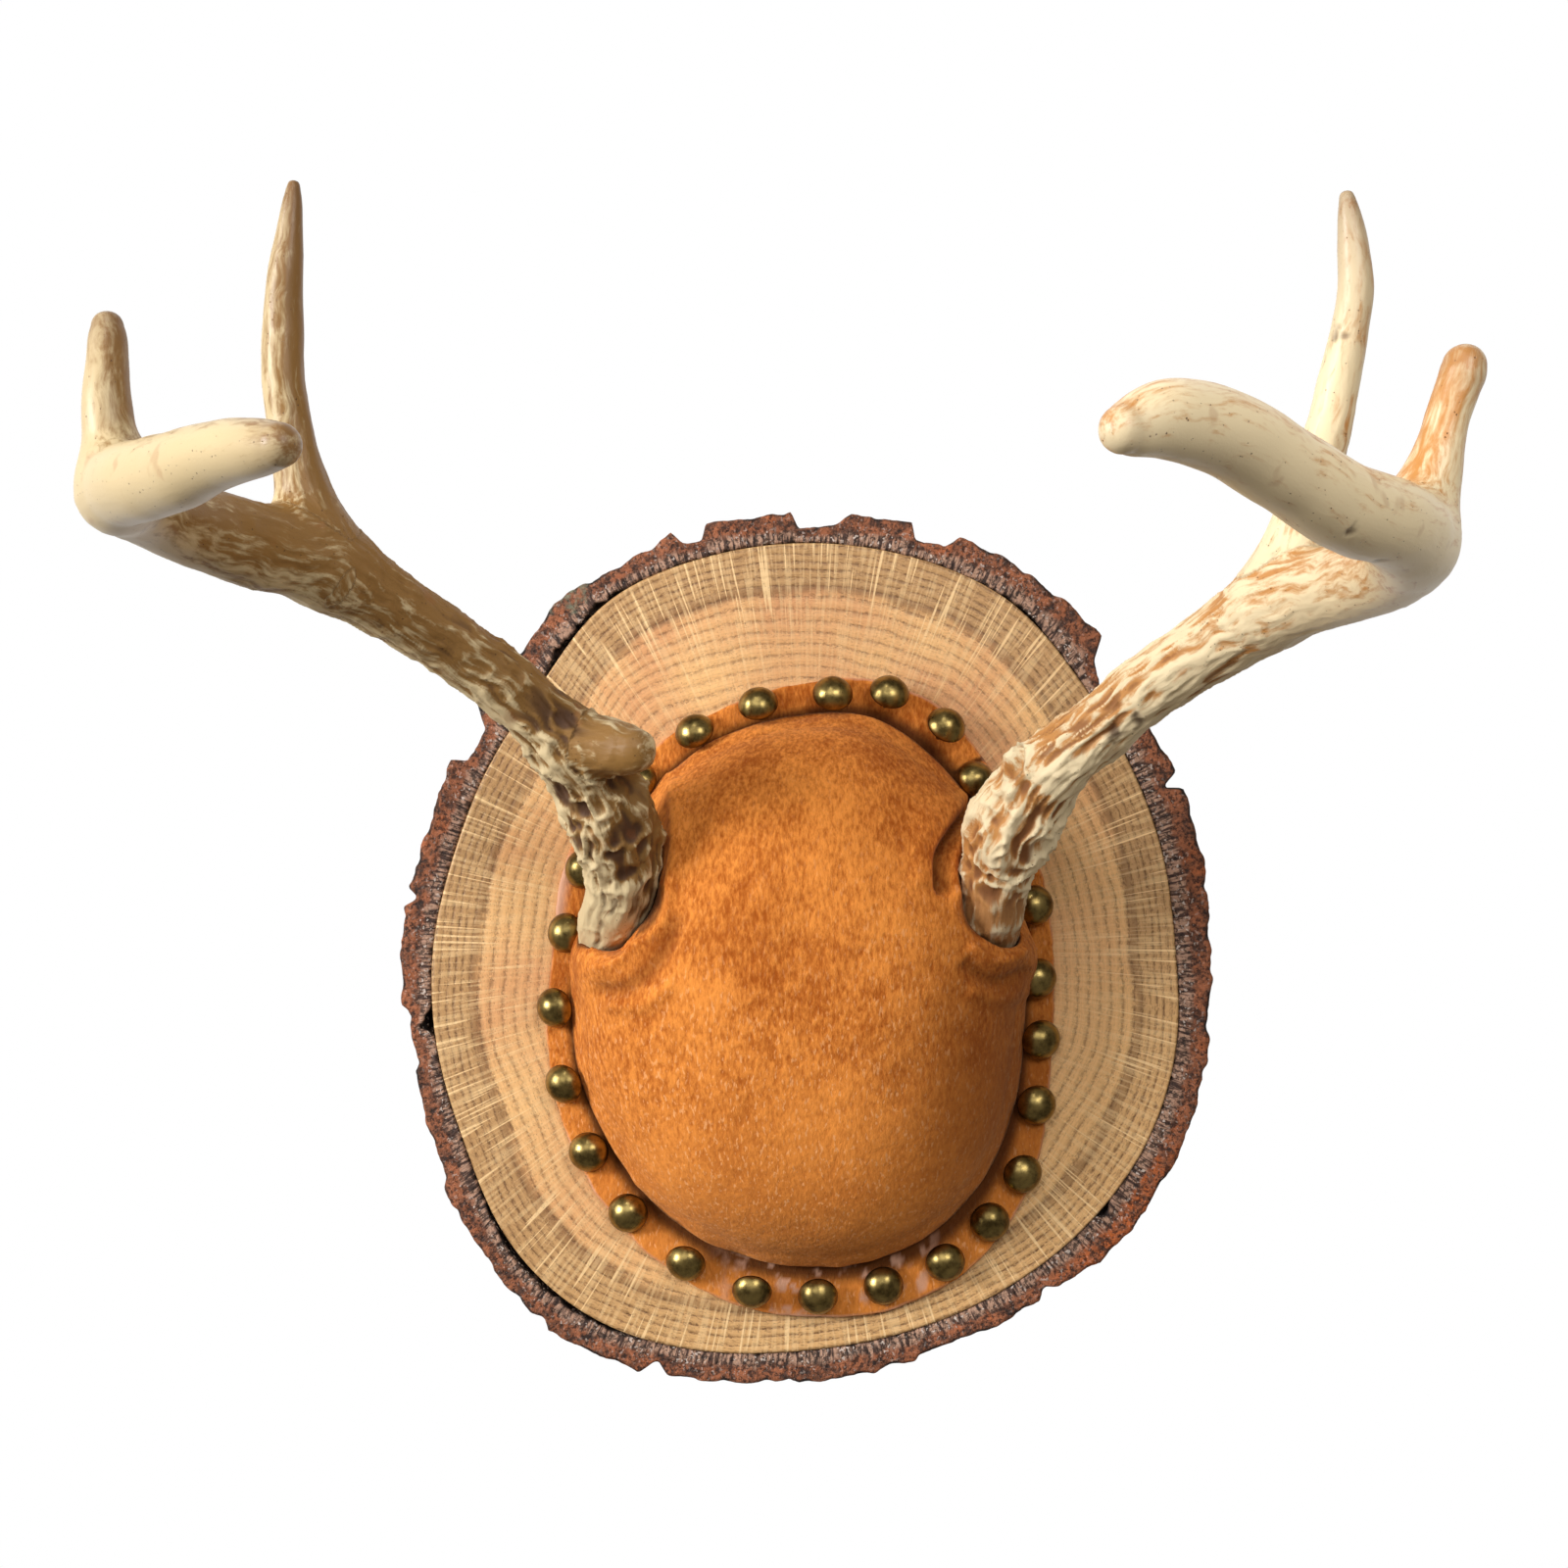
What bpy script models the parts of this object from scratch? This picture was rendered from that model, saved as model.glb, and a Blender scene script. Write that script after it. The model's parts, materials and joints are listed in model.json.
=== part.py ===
"""Antler mounting plaque: a slice of oak with its bark, a suede dome nailed to it, and two antlers.

The slice hangs on a wall. Its flat back lies in the plane Y = 0 with its centre at the origin,
its face looks along -Y and +Z is up. Sizes below are in millimetres and degrees.
"""

import math
import random

import bmesh
import bpy
from mathutils import Matrix, Vector

MM = 0.001

# Clearance between pieces that touch
TOUCH = 0.3

# Points closer than this are welded, and faces that turn less than this many degrees are one face
MERGE_DISTANCE = 0.01
FLAT_TURN = 0.5

# Slice of oak: thickness, the wood's width along X, and its outline as radii every 15 degrees, from
# +X towards +Z
SLICE_THICKNESS = 22.0
WOOD_WIDTH = 205.0
WOOD_RADII = (102, 102, 103, 106, 111.5, 112, 112, 111.5, 110.5, 103, 101, 100.5,
              103, 105.5, 108.5, 115.5, 118, 115, 111, 109.5, 109, 109, 108.5, 106)
WOOD_STEP = 5.0

# Bark, plate by plate: from and to angle, and its thickness at both ends
BARK_PLATES = (
    (3, 23, 10.3, 11.9), (24, 24.5, 7.6, 7.6), (25.5, 40, 11.6, 8.5), (41.5, 45, 3.5, 7.5),
    (46.5, 57, 13, 10), (57, 69.5, 10, 9.8), (71, 75, 5.6, 5.6), (76, 84, 9.9, 9),
    (85.5, 91, 6.4, 4.2), (92, 103.3, 9, 9.4), (104.3, 107, 5.5, 5.5), (108, 109.8, 9.4, 8),
    (111.5, 121, 6.8, 8.5), (124, 127, 10.1, 11.2), (130, 143.5, 9.9, 12.2), (145.5, 151, 6.5, 5.8),
    (152, 159.5, 10.1, 10.1), (160.5, 171.3, 9.4, 10.1), (172.3, 172.8, 7.1, 7.1),
    (174, 188, 9.6, 8.7), (189, 196.5, 7, 6.2), (197.5, 212.5, 8, 8.6), (213.5, 222, 10.3, 8.5),
    (222, 233, 8.5, 9.6), (234.3, 234.8, 8.1, 8.1), (236, 248.5, 9.8, 9), (249.7, 250.5, 5.9, 5.9),
    (252, 268, 8.8, 8.1), (269, 285, 9.6, 8.6), (285.5, 294, 7.8, 7.6), (295, 303.5, 8.5, 8.3),
    (304.7, 305.5, 6.4, 6.4), (306.5, 313, 7.5, 10), (313, 345, 10.4, 9.1), (345, 3, 9.1, 10.3),
)
PLATE_STEP = 8.0

# Where the bark has let go of the wood: middle, half width and widest opening
BARK_CRACKS = ((231, 17, 1.5), (126, 9, 2.0), (191, 2.2, 4.0), (318.9, 1.6, 2.6), (57, 6, 0.7))
NARROW_CRACK_SHARES = (-1, -0.5, 0.5, 1)

# Suede dome: height, width along X, its foot's outline as radii every 15 degrees, the flat on its
# crown, how square its shoulder is, how far the crown lies above the middle, and the foot's flare
CAP_HEIGHT = 44.0
CAP_WIDTH = 124.0
CAP_RADII = (61, 61, 61, 61.5, 64.5, 67, 65, 63.5, 62.5, 60.5, 60.5, 61.5,
             63, 67, 72, 76, 82.5, 86, 87.5, 88, 84, 76.5, 68.5, 62.5)
CAP_SIDES = 36
CAP_LEVELS = 7
CROWN_RADIUS = 10.5
CAP_SHOULDER = 0.75
CAP_CROWN_LIFT = 6.0
FOOT_FLARE = 3.2
FOOT_FLARE_RISE = 9.0

# Suede strip round the foot of the dome: thickness, how far it runs under the dome's edge, and the
# width that shows outside the dome every 15 degrees
STRIP_THICKNESS = 2.0
STRIP_TUCK = 6.0
STRIP_WIDTHS = (7, 7, 8, 9.5, 11.5, 9.5, 8.5, 7, 7, 8.5, 9.5, 9,
                6.5, 7, 8, 10.5, 11, 13, 14, 14, 14, 12, 9, 8)
STRIP_STEP = 7.5

# Height of the dome's edge above the slice's face, on the strip
DOME_FOOT = STRIP_THICKNESS + 2 * TOUCH

# Upholstery nails: a domed head on a shank, leaning outwards
NAIL_HEAD_DIAMETER = 11.0
NAIL_HEAD_HEIGHT = 4.0
NAIL_SHANK_DIAMETER = 1.8
NAIL_LENGTH = 13.0
NAIL_POINT = 2.5
NAIL_DOME_SHARES = (0.4, 0.75, 1.0)
NAIL_SIDES = 10
NAIL_HOLE_SIDES = 6

# Each nail: angle round the slice, from the dome's foot to the near rim of its head, and lean
NAILS = (
    (84, -0.1, 32), (72, 3, 38), (58, 4.1, 38), (45, -0.1, 34), (28, -2, 28),
    (11, -1.9, 24), (-7, -1.9, 27), (-21, -0.6, 16), (-34, 0.5, 12), (-46, 3.3, 16),
    (-56, 2.6, 8), (-66, 2.6, 14), (-77, 1.2, 10), (-88, 2.3, 20), (-99, 3.1, 32),
    (-111, 2.1, 26), (-124, 1, 8), (-137, 0.8, 6), (-151, -0.7, 26), (-167, -0.6, 27),
    (176, -1.4, 25), (160, -0.9, 28), (135, -0.1, 30), (117, 0.1, 38), (101, 0.4, 38),
)

# Antlers: how far the right beam reaches forwards from its foot, which sizes both. Each foot's angle
# round the dome, how far it stands in from the dome's edge, and how deep it sits in the dome
ANTLER_REACH = 228.0
LEFT_FOOT = (173.7, 8.0, 7.0)
RIGHT_FOOT = (2.4, 12.5, 14.8)

# Limbs of the antlers: rows of x, height and z from the foot, and radius
LEFT_BEAM = (
    (0, 0, 0, 8), (2.5, 8, 6.5, 8.6), (5, 14, 13, 9), (5, 19, 21, 10), (3, 24, 30, 11.8),
    (-1.5, 30, 40.5, 10.2), (-10, 39, 52.5, 8.8), (-22, 47, 64.5, 7.9), (-36, 56, 75, 7.8),
    (-50, 66, 84.5, 8.7), (-64, 76, 93, 10.2), (-77.5, 90, 95.8, 10), (-88, 108, 98.8, 9.2),
    (-93, 128, 101, 8.9), (-93, 146, 102, 8.8), (-85, 164, 101.5, 8.5), (-72.5, 182, 101.5, 8),
    (-60, 198, 103, 6.6), (-49.5, 211, 102.5, 5.3), (-43, 219, 102, 3.4),
)
LEFT_BROW = ((-6, 38, 50, 7.5), (2.5, 43, 49, 7), (9, 48, 48, 6.2), (13, 52, 47.6, 3.8))
LEFT_LONG_TINE = (
    (-61, 75, 91, 8.8), (-65.5, 76.5, 102, 8.6), (-68, 78, 113, 6.4), (-70.3, 79, 125, 5.4),
    (-71.6, 80, 137, 5.2), (-71.6, 80, 149, 4.8), (-71, 81, 160, 4.3), (-70, 81, 170, 3.4),
    (-69.3, 81, 177.5, 2.6), (-68.8, 81, 183.5, 1.3),
)
LEFT_SHORT_TINE = (
    (-93, 146, 102, 8.2), (-95, 147, 112, 5.9), (-96.2, 146, 121, 5.2), (-96.6, 144, 129, 4.6),
    (-97, 142, 135.5, 4), (-97.4, 141, 139.8, 2.5),
)
RIGHT_BEAM = (
    (0, 0, 0, 7), (0.5, 8, 6, 7), (0.7, 14, 13.5, 7.3), (2, 19, 22.5, 8.4),
    (4.5, 25, 31, 10.8), (9, 31, 40.5, 10), (15, 38, 48.5, 9), (24.5, 45, 57, 8.2),
    (35, 53, 66.5, 8), (47.5, 62, 75.3, 8.5), (60, 73, 84, 9.6), (69.5, 87, 88.5, 9.7),
    (77, 105, 90.3, 9.4), (81.5, 125, 92.5, 9.6), (79.5, 145, 95, 9.8), (71.5, 163, 97, 9.3),
    (57.5, 179, 99, 9), (42.5, 193, 105, 8.5), (29, 206, 110, 8.3), (17, 217, 111, 7.5),
    (9, 224, 108.5, 5.4), (5.3, 228, 107, 3),
)
RIGHT_BROW = ((10, 37, 44, 4), (5.5, 40, 48.5, 3), (3.2, 42, 50.7, 1.8))
RIGHT_LONG_TINE = (
    (62.5, 75, 86.5, 8.8), (67, 79, 99, 7.8), (71, 83, 114, 6), (74.5, 86, 128, 5.4),
    (76.5, 88, 139, 5), (78.5, 90, 149.5, 4.5), (79.7, 91, 159.5, 4.2), (79.2, 91, 170, 3.6),
    (78.3, 91, 177, 2.7), (77.5, 91, 182.5, 1.4),
)
RIGHT_SHORT_TINE = (
    (79, 144, 98, 8.8), (83.3, 144, 107, 7), (86, 144, 116, 5.2), (87.5, 144, 122, 4.7),
    (89.5, 144, 128, 4.8), (91, 144, 132.3, 5), (91.3, 144, 136, 3.4),
)
LEFT_LIMBS = (LEFT_BEAM, LEFT_BROW, LEFT_LONG_TINE, LEFT_SHORT_TINE)
RIGHT_LIMBS = (RIGHT_BEAM, RIGHT_BROW, RIGHT_LONG_TINE, RIGHT_SHORT_TINE)
BEAM_SIDES = 12
TINE_SIDES = 8
ROW_STEPS = 2

# Knobs on the burr: the seed of each antler's own, how proud they stand, and the rows of the beam
# they spread over
LEFT_SEED = 3
RIGHT_SEED = 8
BURR_KNOB = 1.7
BURR_ROW = 4.2
BURR_SPREAD = 2.4

# Pocket in the dome round an antler's foot: the gap at its floor and at its mouth
POCKET_FLOOR_GAP = 0.8
POCKET_MOUTH_GAP = 4.0


def smooth_step(before, start, end, after, part):
    """Value a part of the way from start to end, on a smooth curve that goes on to their neighbours."""
    bend = (2 * before - 5 * start + 4 * end - after) * part ** 2
    bend += (3 * start - before - 3 * end + after) * part ** 3
    return start + 0.5 * ((end - before) * part + bend)


def read_round(values, angle):
    """Value at an angle, on a smooth closed curve through evenly spaced values."""
    place = angle / 360 * len(values)
    first = math.floor(place)
    around = (values[(first + shift) % len(values)] for shift in (-1, 0, 1, 2))
    return smooth_step(*around, place - first)


def width_of(radii):
    """Width along X of an outline given as radii."""
    return radii[0] + radii[len(radii) // 2]


def wood_radius(angle):
    return read_round(WOOD_RADII, angle) * WOOD_WIDTH / width_of(WOOD_RADII)


def cap_radius(angle):
    return read_round(CAP_RADII, angle) * CAP_WIDTH / width_of(CAP_RADII)


def strip_radius(angle):
    return cap_radius(angle) + read_round(STRIP_WIDTHS, angle)


def dome_height(radius, angle):
    """Height of the dome over a point of the slice's face."""
    share = min(1.0, radius / (cap_radius(angle) - FOOT_FLARE))
    climb = math.acos(share ** (1 / CAP_SHOULDER))
    return DOME_FOOT + (CAP_HEIGHT - DOME_FOOT) * math.sin(climb)


def on_slice(radius, angle, height):
    """Point in metres from a radius and an angle on the slice, and a height above its face."""
    turn = math.radians(angle)
    return Vector((radius * math.cos(turn), -(SLICE_THICKNESS + height), radius * math.sin(turn))) * MM


def in_front(x, height, z):
    """Point in metres from x and z on the slice and a height above its face."""
    return Vector((x, -(SLICE_THICKNESS + height), z)) * MM


def make_material(name, colour, roughness, metallic=0.0):
    material = bpy.data.materials.new(name)
    material.use_nodes = True
    shader = material.node_tree.nodes["Principled BSDF"]
    shader.inputs["Base Color"].default_value = (*colour, 1.0)
    shader.inputs["Roughness"].default_value = roughness
    shader.inputs["Metallic"].default_value = metallic
    return material


def add_piece(name, mesh, collection, material=None):
    piece = bpy.data.objects.new(name, mesh)
    collection.objects.link(piece)
    if material:
        mesh.materials.append(material)
    return piece


def as_cutter(piece):
    piece.hide_render = True
    piece.display_type = "WIRE"
    return piece


def cut(piece, cutters):
    """Takes away from the piece everything in a collection of cutters."""
    boolean = piece.modifiers.new("cut", "BOOLEAN")
    boolean.operation = "DIFFERENCE"
    boolean.operand_type = "COLLECTION"
    boolean.collection = cutters
    boolean.solver = "EXACT"


def flat_outline(name, loops, low, high, collection, material):
    """Closed outlines in the slice's plane, filled and given thickness from low to high along -Y."""
    curve = bpy.data.curves.new(name, "CURVE")
    curve.dimensions = "2D"
    curve.fill_mode = "BOTH"
    curve.extrude = (high - low) / 2 * MM
    for loop in loops:
        spline = curve.splines.new("POLY")
        spline.points.add(len(loop) - 1)
        for point, (radius, angle) in zip(spline.points, loop):
            turn = math.radians(angle)
            point.co = (radius * math.cos(turn) * MM, radius * math.sin(turn) * MM, 0, 1)
        spline.use_cyclic_u = True
    source = bpy.data.objects.new(name + "_outline", curve)
    source.matrix_world = (Matrix.Translation((0, -(low + high) / 2 * MM, 0))
                           @ Matrix.Rotation(math.radians(90), 4, "X"))
    collection.objects.link(source)
    bpy.context.view_layer.update()
    evaluated = source.evaluated_get(bpy.context.evaluated_depsgraph_get())
    mesh = bpy.data.meshes.new_from_object(evaluated)
    solid = bmesh.new()
    solid.from_mesh(mesh)
    bmesh.ops.remove_doubles(solid, verts=solid.verts, dist=MERGE_DISTANCE * MM)
    bmesh.ops.dissolve_limit(solid, angle_limit=math.radians(FLAT_TURN), verts=solid.verts, edges=solid.edges)
    solid.to_mesh(mesh)
    solid.free()
    piece = add_piece(name, mesh, collection, material)
    piece.matrix_world = source.matrix_world
    bpy.data.objects.remove(source)
    return piece


def loft(rings, name):
    """Closed mesh through rings of as many points each, turned so that its faces look outwards."""
    solid = bmesh.new()
    rows = [[solid.verts.new(point) for point in ring] for ring in rings]
    for row, following in zip(rows, rows[1:]):
        for index in range(len(row)):
            beside = (index + 1) % len(row)
            solid.faces.new((row[index], row[beside], following[beside], following[index]))
    solid.faces.new(reversed(rows[0]))
    solid.faces.new(rows[-1])
    bmesh.ops.recalc_face_normals(solid, faces=solid.faces)
    mesh = bpy.data.meshes.new(name)
    solid.to_mesh(mesh)
    solid.free()
    return mesh


def bark_opening(angle):
    """How far the bark stands off the wood."""
    opening = 0.0
    for middle, half_width, widest in BARK_CRACKS:
        away = math.remainder(angle - middle, 360)
        if abs(away) < half_width:
            opening = max(opening, widest * (1 - (away / half_width) ** 2))
    return TOUCH + opening


def make_wood(collection, cutters, material):
    count = round(360 / WOOD_STEP)
    edge = [(wood_radius(index * WOOD_STEP), index * WOOD_STEP) for index in range(count)]
    wood = flat_outline("wood_slice", [edge], 0, SLICE_THICKNESS, collection, material)
    cut(wood, cutters)


def make_bark(collection, material):
    outside = []
    for start, end, first, last in BARK_PLATES:
        span = (end - start) % 360
        steps = max(1, round(span / PLATE_STEP))
        for index in range(steps + 1):
            share = index / steps
            angle = start + span * share
            outside.append((wood_radius(angle) + first + (last - first) * share, angle))
    count = round(360 / WOOD_STEP)
    angles = [index * WOOD_STEP for index in range(count)]
    for middle, half_width, _ in BARK_CRACKS:
        if half_width < WOOD_STEP:
            angles = [angle for angle in angles if abs(angle - middle) > half_width]
            angles += [middle + half_width * share for share in NARROW_CRACK_SHARES]
    inside = [(wood_radius(angle) + bark_opening(angle), angle) for angle in sorted(angles)]
    flat_outline("bark_ring", [outside, inside], 0, SLICE_THICKNESS, collection, material)


def make_strip(collection, cutters, material):
    count = round(360 / STRIP_STEP)
    angles = [index * STRIP_STEP for index in range(count)]
    outside = [(strip_radius(angle), angle) for angle in angles]
    inside = [(cap_radius(angle) - STRIP_TUCK, angle) for angle in angles]
    low = SLICE_THICKNESS + TOUCH
    strip = flat_outline("suede_border", [outside, inside], low, low + STRIP_THICKNESS, collection, material)
    cut(strip, cutters)


def cap_ring(climb):
    """One ring of the dome, from its foot at a climb of 0 degrees to the middle of its crown at 90."""
    climb = math.radians(climb)
    height = DOME_FOOT + (CAP_HEIGHT - DOME_FOOT) * math.sin(climb)
    drawn_in = FOOT_FLARE * min(1.0, (height - DOME_FOOT) / FOOT_FLARE_RISE)
    share = math.cos(climb) ** CAP_SHOULDER
    ring = []
    for index in range(CAP_SIDES):
        angle = 360 / CAP_SIDES * index
        radius = (cap_radius(angle) - drawn_in) * share
        point = on_slice(radius, angle, height)
        point.z += CAP_CROWN_LIFT * MM * (1 - share)
        ring.append(point)
    return ring


def make_cap(collection, cutters, material):
    angles = [360 / CAP_SIDES * index for index in range(CAP_SIDES)]
    rings = []
    for height in (TOUCH, DOME_FOOT):
        rings.append([on_slice(cap_radius(angle) - STRIP_TUCK - TOUCH, angle, height) for angle in angles])
    crown_share = CROWN_RADIUS / (CAP_WIDTH / 2)
    top_climb = math.degrees(math.acos(crown_share ** (1 / CAP_SHOULDER)))
    rings += [cap_ring(top_climb * index / CAP_LEVELS) for index in range(CAP_LEVELS + 1)]
    cap = add_piece("suede_cap", loft(rings, "suede_cap"), collection, material)
    cut(cap, cutters)


def smooth_rows(rows, steps):
    """More rows on a smooth curve through the given ones."""
    finer = []
    for index in range(len(rows) - 1):
        around = [Vector(rows[min(max(index + shift, 0), len(rows) - 1)]) for shift in (-1, 0, 1, 2)]
        finer += [smooth_step(*around, step / steps) for step in range(steps)]
    finer.append(Vector(rows[-1]))
    return finer


def sweep(rows, sides, steps, name, lead=0.0, extra=None):
    """Round limb through rows of x, height, z and radius, with its rings square to its line.

    extra(row, side) adds to the radius, and lead carries the first ring further back.
    """
    rows = smooth_rows([Vector(row) for row in rows], steps)
    centres = [in_front(*row[:3]) for row in rows]
    if lead:
        centres[0] = centres[0] + (centres[0] - centres[1]).normalized() * lead * MM
    across = Vector((1, 0, 0))
    rings = []
    for index, (centre, row) in enumerate(zip(centres, rows)):
        ahead = centres[min(index + 1, len(rows) - 1)] - centres[max(index - 1, 0)]
        ahead.normalize()
        across = (across - across.dot(ahead) * ahead).normalized()
        upright = ahead.cross(across)
        ring = []
        for side in range(sides):
            turn = math.tau * side / sides
            radius = row[3] + (extra(index / steps, side) if extra else 0)
            ring.append(centre + (across * math.cos(turn) + upright * math.sin(turn)) * radius * MM)
        rings.append(ring)
    return loft(rings, name)


def grown(limbs, foot):
    """Rows of an antler's limbs at their real size, from its foot in the dome."""
    angle, inset, depth = foot
    radius = cap_radius(angle) - inset
    foot_x = radius * math.cos(math.radians(angle))
    foot_z = radius * math.sin(math.radians(angle))
    foot_height = dome_height(radius, angle) - depth
    _, drawn_reach, _, _ = RIGHT_BEAM[-1]
    size = ANTLER_REACH / drawn_reach
    return [[(foot_x + x * size, foot_height + height * size, foot_z + z * size, thick * size)
             for x, height, z, thick in rows] for rows in limbs]


def make_antler(name, limbs, seed, collection, guides, material):
    """Beam with its tines grown into it, as one body."""
    beam, *tines = limbs
    draw = random.Random(seed)
    heights = [[draw.uniform(-1, 1) for _ in range(BEAM_SIDES)] for _ in range(len(beam) * ROW_STEPS)]

    def knobs(row, side):
        fade = math.exp(-((row - BURR_ROW) / BURR_SPREAD) ** 2)
        return BURR_KNOB * fade * heights[round(row * ROW_STEPS)][side]

    antler = add_piece(name, sweep(beam, BEAM_SIDES, ROW_STEPS, name, extra=knobs), collection, material)
    for number, tine in enumerate(tines, start=1):
        part_name = f"{name}_tine_{number}"
        limb = as_cutter(add_piece(part_name, sweep(tine, TINE_SIDES, ROW_STEPS, part_name), guides))
        joined = antler.modifiers.new(part_name, "BOOLEAN")
        joined.operation = "UNION"
        joined.object = limb
        joined.solver = "EXACT"
    antler.data.shade_smooth()


def nail_profile():
    """Half outline of a nail, from the top of its head down to its point."""
    radius = NAIL_HEAD_DIAMETER / 2
    sphere = (radius ** 2 + NAIL_HEAD_HEIGHT ** 2) / (2 * NAIL_HEAD_HEIGHT)
    slope = math.asin(radius / sphere)
    points = [(0, NAIL_HEAD_HEIGHT)]
    for share in NAIL_DOME_SHARES:
        points.append((sphere * math.sin(slope * share),
                       NAIL_HEAD_HEIGHT - sphere * (1 - math.cos(slope * share))))
    shank = NAIL_SHANK_DIAMETER / 2
    points += [(shank, 0), (shank, NAIL_POINT - NAIL_LENGTH), (0, -NAIL_LENGTH)]
    return points


def nail_place(angle, gap, lean):
    """Placement of a nail whose own +Z is its axis and whose zero is under its head."""
    head_radius = NAIL_HEAD_DIAMETER / 2
    tilt = math.radians(lean)
    height = DOME_FOOT + head_radius * math.sin(tilt)
    centre = on_slice(cap_radius(angle) + gap + head_radius * math.cos(tilt), angle, height)
    outwards = on_slice(1, angle, 0) - on_slice(0, angle, 0)
    outwards.normalize()
    axis = Vector((0, -1, 0)) * math.cos(tilt) + outwards * math.sin(tilt)
    return Matrix.Translation(centre) @ Vector((0, 0, 1)).rotation_difference(axis).to_matrix().to_4x4()


def make_nails(collection, material):
    mesh = bpy.data.meshes.new("nail")
    outline = bmesh.new()
    points = [outline.verts.new((x * MM, 0, z * MM)) for x, z in nail_profile()]
    for first, second in zip(points, points[1:]):
        outline.edges.new((first, second))
    outline.to_mesh(mesh)
    outline.free()
    mesh.materials.append(material)
    for number, nail in enumerate(NAILS, start=1):
        piece = bpy.data.objects.new(f"nail_{number:02d}", mesh)
        collection.objects.link(piece)
        turned = piece.modifiers.new("turned", "SCREW")
        turned.steps = NAIL_SIDES
        turned.render_steps = NAIL_SIDES
        turned.use_merge_vertices = True
        turned.merge_threshold = MERGE_DISTANCE * MM
        piece.matrix_world = nail_place(*nail)


def make_nail_cutters(collection):
    """A hole for each shank, through the strip and into the wood."""
    clear_radius = NAIL_SHANK_DIAMETER / 2 + TOUCH
    hole_radius = clear_radius / math.cos(math.pi / NAIL_HOLE_SIDES)
    depth = NAIL_LENGTH + TOUCH
    for number, nail in enumerate(NAILS, start=1):
        mesh = bpy.data.meshes.new(f"nail_hole_{number:02d}")
        hole = bmesh.new()
        bmesh.ops.create_cone(hole, cap_ends=True, segments=NAIL_HOLE_SIDES, radius1=hole_radius * MM,
                              radius2=hole_radius * MM, depth=depth * MM)
        bmesh.ops.translate(hole, verts=hole.verts, vec=(0, 0, -depth / 2 * MM))
        hole.to_mesh(mesh)
        hole.free()
        cutter = as_cutter(add_piece(mesh.name, mesh, collection))
        cutter.matrix_world = nail_place(*nail)


def make_pocket_cutter(name, beam, collection):
    """Body of the pocket, along the part of a beam that is no higher than the dome."""
    rows = [row for row in beam if row[1] < CAP_HEIGHT + beam[0][3]]

    def gap(row, _):
        share = row / (len(rows) - 1)
        return POCKET_FLOOR_GAP + (POCKET_MOUTH_GAP - POCKET_FLOOR_GAP) * share

    mesh = sweep(rows, BEAM_SIDES, ROW_STEPS, name, POCKET_FLOOR_GAP, gap)
    as_cutter(add_piece(name, mesh, collection))


def new_collection(name):
    collection = bpy.data.collections.new(name)
    bpy.context.scene.collection.children.link(collection)
    return collection


def main():
    for old in list(bpy.data.objects):
        bpy.data.objects.remove(old)
    plaque = new_collection("antler_mounting_plaque")
    nail_holes = new_collection("nail_holes")
    pockets = new_collection("antler_pockets")
    limbs = new_collection("antler_tines")

    oak = make_material("oak", (0.55, 0.33, 0.17), 0.5)
    bark = make_material("bark", (0.13, 0.06, 0.035), 0.8)
    suede = make_material("suede", (0.55, 0.24, 0.06), 0.95)
    brass = make_material("antique_brass", (0.35, 0.29, 0.14), 0.35, 1.0)
    antler = make_material("antler", (0.72, 0.55, 0.31), 0.45)

    left_limbs = grown(LEFT_LIMBS, LEFT_FOOT)
    right_limbs = grown(RIGHT_LIMBS, RIGHT_FOOT)
    make_nail_cutters(nail_holes)
    make_pocket_cutter("left_pocket", left_limbs[0], pockets)
    make_pocket_cutter("right_pocket", right_limbs[0], pockets)
    make_wood(plaque, nail_holes, oak)
    make_bark(plaque, bark)
    make_strip(plaque, nail_holes, suede)
    make_cap(plaque, pockets, suede)
    make_antler("left_antler", left_limbs, LEFT_SEED, plaque, limbs, antler)
    make_antler("right_antler", right_limbs, RIGHT_SEED, plaque, limbs, antler)
    make_nails(plaque, brass)


main()
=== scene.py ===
"""Looks of an antler mounting plaque.

An oak slice in its bark carries a suede dome, nailed down over a suede strip, and two antlers stand
out of the dome. Lengths are in millimetres on the slice: x to the right, z up, and height in front of
its face. They become metres, with -Y to the front, where a mesh gets its points.
"""

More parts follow.
